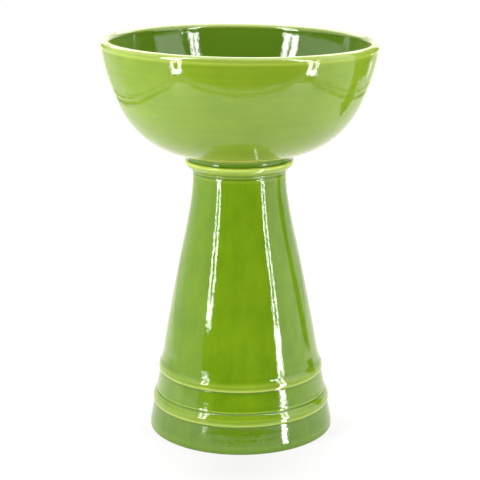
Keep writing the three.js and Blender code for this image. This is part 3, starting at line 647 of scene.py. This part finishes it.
def glaze(name, colours, mottling, brushing, brush_stretch, rippling):
    """Thick glossy glaze: mottled, brushed, lighter over edges and deeper in creases, with a painted
    highlight on the rim and painted shade in creases and inside the basin.
    """
    body, light, darker = colours
    nodes = Nodes(name)
    clouds = nodes.ramp(nodes.noise(CLOUD_SCALE, 5, 0.65), 0.36, 0.66)
    brushed = nodes.ramp(nodes.noise(1, 4, 0.6, stretch=brush_stretch), 0.38, 0.66)
    colour = nodes.mix(nodes.math("MULTIPLY", clouds, mottling), body, light)
    colour = nodes.mix(nodes.math("MULTIPLY", brushed, brushing), colour, light)
    # the darker colour: thicker glaze, with painted shade inside the basin and in its joint, and darker
    # towards the pedestal's foot
    colour = nodes.mix(nodes.attribute("darker_glaze"), colour, darker)
    # paler where the glaze breaks thin over edges, and a painted highlight on the rim's roll
    colour = nodes.mix(nodes.attribute("thin_glaze_and_highlight"), colour, GLAZE_THIN_AND_LIT)
    # darker where the glaze pools in creases, with painted shade in them
    colour = nodes.mix(nodes.attribute("pooled_glaze_and_shade"), colour, GLAZE_POOLED_AND_SHADED)
    specks = nodes.math("MULTIPLY", nodes.dots(SPECK_SCALE, 0.05), SPECK_STRENGTH)
    colour = nodes.mix(specks, colour, GLAZE_THIN_AND_LIT)

    peel = nodes.bump(nodes.noise(PEEL_SCALE, 2, 0.6), PEEL_DEPTH, rippling)
    ripple = nodes.bump(nodes.noise(RIPPLE_SCALE, 2, 0.5), RIPPLE_DEPTH, rippling, normal=peel)
    pinholes = nodes.bump(nodes.dots(PINHOLE_SCALE, 0.06), -PINHOLE_DEPTH, 0.6, normal=ripple)
    return nodes.shade(
        Base_Color=colour,
        Roughness=0.025,
        IOR=1.55,
        Normal=pinholes,
        Sheen_Weight=0.2,
        Sheen_Roughness=0.35,
        Sheen_Tint=(1.0, 0.8, 0.3, 1.0),
    )


def biscuit():
    """Bare fired clay, where no glaze reaches."""
    nodes = Nodes("bare_clay")
    grain = nodes.noise(420, 4, 0.7)
    colour = nodes.mix(nodes.ramp(grain, 0.3, 0.7), srgb(196, 176, 148), srgb(222, 205, 178))
    return nodes.shade(Base_Color=colour, Roughness=0.85, Normal=nodes.bump(grain, 0.0003, 0.6))


def chrome():
    nodes = Nodes("polished_chrome")
    spots = nodes.ramp(nodes.noise(120, 3, 0.6), 0.5, 0.75, 0.14, 0.26)
    return nodes.shade(Base_Color=srgb(176, 180, 184), Metallic=1.0, Roughness=spots)


def satin_chrome():
    """The waste's flange and strainer, dulled by water."""
    nodes = Nodes("satin_chrome")
    spots = nodes.ramp(nodes.noise(160, 4, 0.65), 0.35, 0.7)
    colour = nodes.mix(spots, srgb(138, 142, 146), srgb(158, 162, 164))
    grain = nodes.bump(nodes.noise(700, 2, 0.6), 0.00003)
    rough = nodes.ramp(spots, 0, 1, 0.3, 0.42)
    return nodes.shade(Base_Color=colour, Metallic=1.0, Roughness=rough, Normal=grain)


def brass():
    nodes = Nodes("machined_brass")
    tarnish = nodes.noise(90, 4, 0.6)
    colour = nodes.mix(nodes.ramp(tarnish, 0.4, 0.7), srgb(196, 160, 92), srgb(150, 112, 56))
    turning = nodes.bump(nodes.noise(1, 2, stretch=(60, 60, 2200)), 0.00004)
    rough = nodes.ramp(tarnish, 0.3, 0.7, 0.25, 0.45)
    return nodes.shade(Base_Color=colour, Metallic=1.0, Roughness=rough, Normal=turning)


def steel():
    nodes = Nodes("brushed_steel")
    lines = nodes.noise(1, 3, 0.7, stretch=(1400, 60, 60))
    return nodes.shade(
        Base_Color=srgb(176, 178, 180),
        Metallic=1.0,
        Roughness=nodes.ramp(lines, 0.3, 0.7, 0.28, 0.42),
        Normal=nodes.bump(lines, 0.00004),
    )


def rubber():
    nodes = Nodes("black_rubber")
    grain = nodes.noise(600, 3, 0.7)
    colour = nodes.mix(grain, srgb(22, 22, 23), srgb(44, 44, 45))
    return nodes.shade(Base_Color=colour, Roughness=0.75, Normal=nodes.bump(grain, 0.0001, 0.5))


# ---- Ceramic pieces -------------------------------------------------------------------------------


def basin_outline():
    outside = bowl_curve(RIM_RADIUS - 0.4 * MM, DEPTH_OUTSIDE, FOOT_RING_OUTER + FOOT_RING_COVE, 60)
    inside = bowl_curve(RIM_RADIUS - 2 * RIM_ROUND, DEPTH_INSIDE, RECESS_RADIUS + 5 * MM, 56)
    underside_z = RIM_Z - DEPTH_OUTSIDE
    recess_z = RIM_Z - DEPTH_INSIDE - RECESS_DEPTH
    well = rounded(
        [
            (FOOT_RING_INNER, FOOT_RING_Z),
            (FOOT_RING_INNER, underside_z),
            (BASIN_HOLE_RADIUS, underside_z),
            (BASIN_HOLE_RADIUS, recess_z),
            (RECESS_RADIUS, recess_z),
            (RECESS_RADIUS + 3 * MM, RIM_Z - DEPTH_INSIDE + 0.2 * MM),
            inside[-1],
        ],
        1.5 * MM,
    )
    foot = rounded(
        [
            outside[-1],
            *profile_at(FOOT_RING_OUTER, LIP_TOP_Z, JOINT_PROFILE),
            (FOOT_RING_OUTER, FOOT_RING_Z),
            (FOOT_RING_INNER, FOOT_RING_Z),
        ],
        1.5 * MM,
    )
    rim = arc(RIM_RADIUS - RIM_ROUND, RIM_Z, RIM_ROUND, 180, 0, 20)
    return well[:-1] + inside[::-1] + rim + outside[:-1] + foot[:-1]


def profile_at(radius, z, steps):
    """Outline points given by steps outwards and upwards from a place, each with its own rounding."""
    return [(radius + out * MM, z + up * MM, rounding * MM) for out, up, rounding in steps]


def pedestal_outline():
    lip_centre = LIP_RADIUS - LIP_ROUND
    lip_z = LIP_TOP_Z - LIP_ROUND
    lip = arc(lip_centre, lip_z, LIP_ROUND, 0, 100, 8)
    cone = cone_curve(70)
    belts = rounded(
        [
            (FOOT_INNER, 0),
            *profile_at(FLOOR_RADIUS, 0, FOOT_PROFILE),
            *profile_at(LOWER_BAND_RADIUS, LOWER_BAND_Z, BAND_PROFILE),
            *profile_at(RIDGE_RADIUS, RIDGE_Z, RIDGE_PROFILE),
            *profile_at(UPPER_BAND_RADIUS, UPPER_BAND_Z, BAND_PROFILE),
            cone[0],
        ],
        1 * MM,
        6,
    )
    collar = rounded(
        [
            cone[-1],
            *profile_at(CREASE_RADIUS, CONE_TOP.y, COLLAR_PROFILE),
            (LIP_RADIUS - 1.2 * MM, lip_z - 4 * MM, 3 * MM),
            lip[0],
        ],
        1 * MM,
        5,
    )
    inside = rounded(
        [
            lip[-1],
            (lip_centre - LIP_ROUND, LIP_TOP_Z - 0.9 * MM, 0.3 * MM),
            (lip_centre - LIP_ROUND, DECK_Z, 1 * MM),
            (BASIN_HOLE_RADIUS, DECK_Z),
            (BASIN_HOLE_RADIUS, DECK_Z - DECK_THICKNESS),
            (NECK_INNER, DECK_Z - DECK_THICKNESS, 3 * MM),
            (FOOT_INNER, 0),
        ],
        1.5 * MM,
    )
    return belts[:-1] + cone + collar[1:-1] + lip + inside[1:-1]


def lean_of_basin(place):
    """The basin sits a little off the axis and its rim isn't level."""
    rise = smoothstep(place.z, RIM_Z - DEPTH_OUTSIDE, RIM_Z)
    return Vector((BASIN_SHIFT * (1 - rise), 0, -RIM_DROP * rise * place.x / RIM_RADIUS))


def lean_of_pedestal(place):
    """The pedestal leans from its shifted foot to where the basin stands."""
    rise = place.z / LIP_TOP_Z
    return Vector((FOOT_SHIFT + (BASIN_SHIFT - FOOT_SHIFT) * rise, 0, 0))


def is_bare(centre, outline_radius):
    """Bare clay: the face of the foot, the inside of the pedestal and the underside of the deck."""
    inside_wall = centre.z < DECK_Z - 1 * MM and math.hypot(centre.x, centre.y) < outline_radius(centre.z)
    return inside_wall or centre.z < 0.2 * MM


def pedestal_bore(z):
    """Radius that separates the pedestal's inner wall from its outer one at a height."""
    share = min(max(z / (DECK_Z - DECK_THICKNESS), 0), 1)
    return FOOT_INNER + (NECK_INNER - FOOT_INNER) * share + BARE_MARGIN


def make_ceramic(name, outline, lean, material, seed):
    obj = new_object(name, turned(outline, CERAMIC_SEGMENTS))
    reshape(obj, lambda place: wall_unevenness(place, seed) + lean(place))
    obj.data.materials.append(material)
    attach(obj, "fountain")
    return obj


def make_basin():
    material = glaze(
        "basin_glaze",
        BASIN_GLAZE,
        mottling=0.35,
        brushing=0.3,
        brush_stretch=BASIN_BRUSHING,
        rippling=0.5,
    )
    outline = subdivided(basin_outline(), LONGEST_STEP)
    obj = make_ceramic("basin_glazed", outline, lean_of_basin, material, BASIN_SEED)
    note_glaze(obj, outline, thin_glaze_and_highlight_on_rim(outline), thick_and_shaded_in_basin(outline), JOINT_TOP_Z)
    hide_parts("basin")


def make_pedestal():
    material = glaze(
        "pedestal_glaze",
        PEDESTAL_GLAZE,
        mottling=0.42,
        brushing=0.4,
        brush_stretch=PEDESTAL_BRUSHING,
        rippling=0.6,
    )
    outline = subdivided(pedestal_outline(), LONGEST_STEP)
    obj = make_ceramic("pedestal_glazed", outline, lean_of_pedestal, material, PEDESTAL_SEED)
    note_glaze(obj, outline, [0.0] * len(outline), darker_at_foot(outline), FOOT_CLEAR)
    obj.data.materials.append(biscuit())
    for face in obj.data.polygons:
        if is_bare(face.center, pedestal_bore):
            face.material_index = 1
    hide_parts("pedestal")
    return obj


# ---- Fittings in the bowl -------------------------------------------------------------------------


def raised(z):
    """A move up by `z`."""
    return Matrix.Translation((0, 0, z))


def valve_pose():
    """Turns a shape about Z into one about the valve, which lies along Y."""
    low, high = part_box("bonnet")
    return raised((low.z + high.z) / 2) @ Matrix.Rotation(math.radians(-90), 4, "X")


def make_fitting(node, material, shape, cutter=None, body="fountain"):
    """A finely rounded piece that stands for a CAD node."""
    obj = new_object(f"{node}_fine", shape)
    cut_and_rounded(obj, cutter)
    obj.data.materials.clear()
    obj.data.materials.append(material)
    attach(obj, body)
    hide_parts(node)


def waste_body_shape():
    low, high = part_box("waste_body")
    seat = FLANGE_THICKNESS - STRAINER_REBATE
    rebate = STRAINER_RADIUS + 0.4
    shell = turned_ring(
        [
            (SHANK_BORE, (low.z - high.z) / MM + FLANGE_THICKNESS),
            (SHANK_RADIUS, (low.z - high.z) / MM + FLANGE_THICKNESS),
            (SHANK_RADIUS, 0),
            (FLANGE_RADIUS, 0),
            (FLANGE_RADIUS - 1, FLANGE_EDGE),
            (rebate + 6, FLANGE_THICKNESS),
            (rebate, FLANGE_THICKNESS),
            (rebate, seat),
            (SHANK_BORE, seat),
        ]
    )
    bottom = seat - SPIDER_DEPTH
    boss = turned_ring(
        [
            (SHANK_HOLE_RADIUS, bottom),
            (SPIDER_BOSS_RADIUS, bottom),
            (SPIDER_BOSS_RADIUS, seat),
            (SHANK_HOLE_RADIUS, seat),
        ]
    )
    half = SPIDER_ARM_WIDTH / 2
    arm = block((SPIDER_BOSS_RADIUS - 1, -half, bottom), (SHANK_BORE + 1, half, seat))
    angles = [math.pi / 2 + 2 * math.pi * i / SPIDER_ARM_COUNT for i in range(SPIDER_ARM_COUNT)]
    arms = [posed(arm, Matrix.Rotation(angle, 4, "Z")) for angle in angles]
    return posed(joined(shell, boss, *arms), raised(high.z - FLANGE_THICKNESS * MM))


def make_strainer(material):
    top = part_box("strainer_plate")[1].z
    plate = turned_ring(
        [
            (SHANK_HOLE_RADIUS, -STRAINER_THICKNESS),
            (STRAINER_RADIUS, -STRAINER_THICKNESS),
            (STRAINER_RADIUS, 0),
            (SHANK_HOLE_RADIUS, 0),
        ]
    )
    hole = rod(STRAINER_HOLE_RADIUS, -2 * STRAINER_THICKNESS, STRAINER_THICKNESS, HOLE_SEGMENTS)
    holes = []
    for i in range(STRAINER_HOLE_COUNT):
        turn = Matrix.Rotation(2 * math.pi * i / STRAINER_HOLE_COUNT, 4, "Z")
        holes.append(posed(hole, turn @ Matrix.Translation((STRAINER_HOLE_CIRCLE * MM, 0, 0))))
    cutter = posed(joined(*holes), raised(top))
    make_fitting("strainer_plate", material, posed(plate, raised(top)), cutter)


def bubbler_body_shape():
    low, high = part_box("bubbler_body")
    base = (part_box("bubbler_base_washer")[1].z - low.z) / MM + 0.3
    spigot_top = (high.z - low.z) / MM
    shoulder = spigot_top - SPIGOT_HEIGHT
    column = turned_solid(
        [
            (0, 0),
            (COLUMN_SHANK_RADIUS, 0),
            (COLUMN_SHANK_RADIUS, base),
            (COLUMN_BASE_RADIUS, base),
            (COLUMN_BASE_RADIUS, base + COLUMN_BASE_THICKNESS),
            (COLUMN_BASE_RADIUS - 3.5, base + COLUMN_BASE_THICKNESS + 1.2),
            (COLUMN_RADIUS + 0.6, base + COLUMN_BASE_THICKNESS + 4),
            (COLUMN_RADIUS, base + COLUMN_BASE_THICKNESS + 7),
            (COLUMN_RADIUS, shoulder),
            (SPIGOT_RADIUS, shoulder),
            (SPIGOT_RADIUS, spigot_top),
            (0, spigot_top),
        ]
    )
    barrel = rod(COLUMN_RADIUS, -VALVE_ENDS_Y, VALVE_ENDS_Y)
    return joined(posed(column, raised(low.z)), posed(barrel, valve_pose()))


def make_mouth_guard(material):
    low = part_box("mouth_guard")[0]
    inner = GUARD_RADIUS - GUARD_WALL
    shell = turned_ring(
        [
            (GUARD_BORE, 0),
            (SPIGOT_RADIUS + 5, 0),
            (GUARD_RADIUS - 1.6, 3.4),
            (GUARD_RADIUS, 7),
            *arc(0, GUARD_DOME_RISE, GUARD_RADIUS, 0, 88, 16),
            *arc(0, GUARD_DOME_RISE, inner, 88, 0, 16),
            (inner, 8),
            (inner - 1.4, 5),
            (SPIGOT_RADIUS + 4, GUARD_FLOOR),
            (GUARD_BORE, GUARD_FLOOR),
        ]
    )
    size = 3 * GUARD_RADIUS
    mouth = block((-size / 2, -size, 0), (size / 2, 0, size))
    place = Matrix.Translation((0, GUARD_CUT_Y * MM, low.z + GUARD_CUT_RISE * MM))
    slant = Matrix.Rotation(math.radians(GUARD_CUT_DEGREES), 4, "X")
    make_fitting("mouth_guard", material, posed(shell, raised(low.z)), posed(mouth, place @ slant))


def make_nozzle(material):
    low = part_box("nozzle")[0].z
    body = turned_solid([(0, 0), *rounded(NOZZLE_PROFILE, 1.5)])
    start, end = Vector(JET_START) * MM, Vector(JET_END) * MM
    jet = rod(JET_RADIUS, 0, (end - start).length / MM, HOLE_SEGMENTS)
    lean = (end - start).to_track_quat("Z", "Y").to_matrix().to_4x4()
    place = raised(low) @ Matrix.Translation(start) @ lean
    make_fitting("nozzle", material, posed(body, raised(low)), posed(jet, place))


def bonnet_shape():
    low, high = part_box("bonnet")
    front, back = low.y / MM, high.y / MM
    outside = BONNET_BORE + BONNET_WALL
    shape = turned_ring(
        [
            (BONNET_BORE, back),
            (outside, back),
            (outside, front + BONNET_EDGE),
            (outside - BONNET_EDGE, front),
            (BUTTON_RADIUS + 0.3, front),
            (BUTTON_RADIUS + 0.3, front + BONNET_LIP),
            (BONNET_BORE, front + BONNET_LIP),
        ]
    )
    return posed(shape, valve_pose())


def button_shape():
    low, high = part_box("push_button")
    front, back = low.y / MM, high.y / MM
    shape = turned_solid(
        [
            (0, front + BUTTON_DISH),
            (BUTTON_RADIUS * 0.55, front + BUTTON_DISH * 0.7),
            (BUTTON_RADIUS - 1.5, front),
            (BUTTON_RADIUS, front + 1.5),
            (BUTTON_RADIUS, back - BUTTON_FLANGE),
            (BUTTON_FLANGE_RADIUS, back - BUTTON_FLANGE),
            (BUTTON_FLANGE_RADIUS, back),
            (0, back),
        ]
    )
    return posed(shape, valve_pose())


def plug_shape():
    low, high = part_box("rear_plug")
    front, back = low.y / MM, high.y / MM
    head_y = back - PLUG_HEAD_LENGTH
    threaded = rod(PLUG_RADIUS, front, head_y + 1)
    head = rod(PLUG_HEAD_RADIUS, head_y, back, HEX_SEGMENTS)
    upright = Matrix.Rotation(math.radians(90), 4, "Z")
    return posed(joined(threaded, posed(head, upright)), valve_pose())


def make_regulator(material):
    low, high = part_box("regulator_screw")
    tip, end = low.x / MM, high.x / MM
    head_x = end - REGULATOR_HEAD_LENGTH
    screw = turned_solid(
        [
            (0, tip),
            (REGULATOR_RADIUS, tip),
            (REGULATOR_RADIUS, head_x),
            (REGULATOR_HEAD_RADIUS, head_x),
            (REGULATOR_HEAD_RADIUS, end),
            (0, end),
        ]
    )
    slot = block(
        (-2 * REGULATOR_HEAD_RADIUS, -SLOT_WIDTH / 2, end - SLOT_WIDTH),
        (2 * REGULATOR_HEAD_RADIUS, SLOT_WIDTH / 2, end + SLOT_WIDTH),
    )
    place = raised((low.z + high.z) / 2) @ Matrix.Rotation(math.radians(90), 4, "Y")
    make_fitting("regulator_screw", material, posed(screw, place), posed(slot, place), "regulator")


def make_fittings(finishes):
    bright = finishes["chrome"]
    dull = satin_chrome()
    make_fitting("waste_body", dull, waste_body_shape())
    make_strainer(dull)
    make_fitting("bubbler_body", bright, bubbler_body_shape())
    make_mouth_guard(bright)
    make_nozzle(bright)
    make_fitting("bonnet", bright, bonnet_shape())
    make_fitting("push_button", bright, button_shape(), body="button")
    make_fitting("rear_plug", bright, plug_shape())
    make_regulator(finishes["steel"])


# ---- Finishes of the nodes that keep their CAD shape ----------------------------------------------


def finish_cad_nodes(finishes):
    """Gives every node in one of these slots its material."""
    for entry in frame["record"]["subparts"]:
        material = finishes.get(entry["material_slot"])
        if material:
            mesh = frame["nodes"][entry["node"]].data
            mesh.materials.clear()
            mesh.materials.append(material)


# ---- Studio ---------------------------------------------------------------------------------------


def glowing(name, radiance):
    """Gives off white light and reflects none."""
    material = bpy.data.materials.new(name)
    material.use_nodes = True
    tree = material.node_tree
    tree.nodes.clear()
    emission = tree.nodes.new("ShaderNodeEmission")
    emission.inputs["Color"].default_value = (1, 1, 1, 1)
    emission.inputs["Strength"].default_value = radiance
    output = tree.nodes.new("ShaderNodeOutputMaterial")
    tree.links.new(emission.outputs[0], output.inputs["Surface"])
    return material


def light_film(name, radiance):
    """Clear, but for the light that it adds."""
    nodes = Nodes(name)
    clear = nodes.add("ShaderNodeBsdfTransparent")
    light = nodes.add("ShaderNodeEmission", {"Strength": radiance})
    both = nodes.add("ShaderNodeAddShader", {0: clear.outputs[0], 1: light.outputs[0]})
    nodes.put(nodes.tree.nodes["Material Output"].inputs["Surface"], both.outputs[0])
    return nodes.material


def staged(name, vertices, faces, material):
    """A piece of the studio."""
    mesh = bpy.data.meshes.new(name)
    mesh.from_pydata(vertices, [], faces)
    mesh.materials.append(material)
    obj = bpy.data.objects.new(name, mesh)
    scene.collection.objects.link(obj)
    return obj


def around(azimuth, distance, z=0.0):
    """A place at an azimuth in degrees from the camera's side, positive towards +X."""
    angle = math.radians(azimuth)
    return Vector((math.sin(angle) * distance, -math.cos(angle) * distance, z))


def curved_card(name, start, end, low, high, radiance, distance=ROOM_DISTANCE):
    """A curved glowing card that the camera doesn't see."""
    steps = max(1, round(abs(end - start) / CARD_STEP))
    vertices = []
    for i in range(steps + 1):
        azimuth = start + (end - start) * i / steps
        vertices += [around(azimuth, distance, low), around(azimuth, distance, high)]
    faces = [(2 * i, 2 * i + 2, 2 * i + 3, 2 * i + 1) for i in range(steps)]
    card = staged(name, vertices, faces, glowing(name, radiance))
    card.visible_camera = False
    card.visible_diffuse = radiance < BRIGHT_CARD
    card.visible_shadow = False
    return card


def strip_light(name, azimuth, distance, low, high, reach, gap_share):
    """Part of a tall softbox: two bars joined at the bottom.

    `reach` is half of its width in degrees, and `gap_share` is how much of that width is the gap.
    """
    gap = reach * gap_share
    bars = ((-reach, -gap, high), (gap, reach, high), (-gap, gap, low + STRIP_JOIN))
    for i, (start, end, top) in enumerate(bars):
        curved_card(f"{name}_bar_{i}", azimuth + start, azimuth + end, low, top, STRIP_RADIANCE, distance)


def table_gleam(name, azimuth, near, far, receivers):
    """A strip light's glow on the table top beside the foot, seen only in reflections.

    It widens with its distance from the foot so that the foot mirrors it as a line of one width.
    """
    ahead = around(azimuth, 1)
    side = Vector((-ahead.y, ahead.x, 0))
    start = around(azimuth / 2, GLEAM_START, GLEAM_HEIGHT)
    corners = []
    for reach, turn in ((near, -1), (near, 1), (far, 1), (far, -1)):
        half = GLEAM_SPREAD * (GLEAM_START + 2 * reach)
        corners.append(start + ahead * reach + side * turn * half)
    card = staged(name, corners, [(0, 1, 2, 3)], light_film(name, STRIP_RADIANCE))
    card.visible_camera = False
    card.visible_diffuse = False
    card.visible_shadow = False
    card.light_linking.receiver_collection = receivers


def make_table_gleams(pedestal):
    """What the shiny table top mirrors of the strip lights onto the pedestal's foot."""
    receivers = bpy.data.collections.new("pedestal_only")
    receivers.objects.link(pedestal)
    for name, azimuth, near, far in GLEAMS:
        table_gleam(name, azimuth, near, far, receivers)
    strip_foot = curved_card(*STRIP_FOOT)
    strip_foot.light_linking.receiver_collection = receivers


def key_light(name, azimuth, energy):
    """A tall soft light that isn't seen in reflections."""
    data = bpy.data.lights.new(name, "AREA")
    data.shape = "RECTANGLE"
    data.size = KEY_WIDTH
    data.size_y = KEY_HEIGHT
    data.energy = energy
    light = bpy.data.objects.new(name, data)
    light.location = around(azimuth, KEY_DISTANCE, KEY_Z)
    light.rotation_euler = (math.radians(90), 0, math.radians(azimuth))
    light.visible_camera = False
    light.visible_glossy = False
    scene.collection.objects.link(light)


def flag(name, corners, radiance):
    """A card given by its corners as (azimuth, height) that the camera doesn't see."""
    vertices = [around(azimuth, FLAG_DISTANCE, height) for azimuth, height in corners]
    card = staged(name, vertices, [tuple(range(len(corners)))], glowing(name, radiance))
    card.visible_camera = False


def table_corners(margin):
    """The table top's corners, moved outwards on its front and sides."""
    left = TABLE_FRONT_LEFT.x - margin
    right = TABLE_FRONT_RIGHT.x + margin
    return [
        (left, TABLE_BACK_Y, 0),
        (left, TABLE_FRONT_LEFT.y - margin, 0),
        (right, TABLE_FRONT_RIGHT.y - margin, 0),
        (right, TABLE_BACK_Y, 0),
    ]


def make_table():
    """The white table top, glowing in place of light, with a painted shadow round the foot, and two dark
    lines of painted shade round its front and sides that only reflections show.
    """
    nodes = Nodes("glowing_floor_with_painted_shadow")
    places = {0: nodes.coordinates, 1: TABLE_SHADOW_PLACE}
    reach = nodes.add("ShaderNodeVectorMath", places, operation="DISTANCE").outputs["Value"]
    white = nodes.shade(
        Base_Color=(0.2, 0.2, 0.2, 1),
        Specular_IOR_Level=0.0,
        Emission_Color=(1, 1, 1, 1),
        Emission_Strength=nodes.ramp(reach, 0, TABLE_GLOW_REACH, TABLE_GLOW, TABLE_GLOW_FAR),
    )
    # the table edge's shade, painted as dark lines that only reflections show
    dark = glowing("floor_edge_painted_shade", TABLE_LINE_GLOW)
    staged("floor", table_corners(0), [(0, 1, 2, 3)], white)
    margins = [margin for line in TABLE_LINES for margin in line]
    for i, (inner, outer) in enumerate(zip(margins, margins[1:])):
        vertices = table_corners(inner) + table_corners(outer)
        faces = [(j, j + 4, j + 5, j + 1) for j in range(3)]
        border = staged(f"floor_border_{i}", vertices, faces, white if i % 2 else dark)
        border.visible_camera = i % 2 == 1


def make_world():
    world = bpy.data.worlds.new("studio")
    world.use_nodes = True
    background = world.node_tree.nodes["Background"]
    background.inputs["Color"].default_value = (1, 1, 1, 1)
    background.inputs["Strength"].default_value = WORLD_STRENGTH
    scene.world = world


def make_overhead():
    """The softbox above the fountain."""
    corners = [
        (-OVERHEAD_X, OVERHEAD_FRONT_Y, OVERHEAD_Z),
        (OVERHEAD_X, OVERHEAD_FRONT_Y, OVERHEAD_Z),
        (OVERHEAD_X, OVERHEAD_BACK_Y, OVERHEAD_Z),
        (-OVERHEAD_X, OVERHEAD_BACK_Y, OVERHEAD_Z),
    ]
    material = glowing("overhead_light", OVERHEAD_RADIANCE)
    staged("overhead_light", corners, [(0, 1, 2, 3)], material).visible_camera = False


def make_studio():
    make_world()
    make_table()
    for strip in STRIPS:
        strip_light(*strip)
    for key in KEYS:
        key_light(*key)
    for card in ROOM_CARDS:
        curved_card(*card)
    curved_card(*BACKDROP).visible_diffuse = False
    flag("dark_flag", DARK_FLAG, FLAG_RADIANCE)
    flag("slit", SLIT, SLIT_RADIANCE)
    make_overhead()


def make_camera():
    data = bpy.data.cameras.new("camera")
    data.lens = CAMERA_LENS
    camera = bpy.data.objects.new("camera", data)
    camera.location = CAMERA_PLACE
    camera.rotation_euler = (math.radians(90 - CAMERA_PITCH), 0, 0)
    scene.collection.objects.link(camera)
    scene.camera = camera


scene.view_settings.view_transform = "Standard"
make_camera()
make_studio()
make_basin()
make_table_gleams(make_pedestal())
metals_and_rubber = {"chrome": chrome(), "brass": brass(), "steel": steel(), "rubber": rubber()}
make_fittings(metals_and_rubber)
finish_cad_nodes(metals_and_rubber)
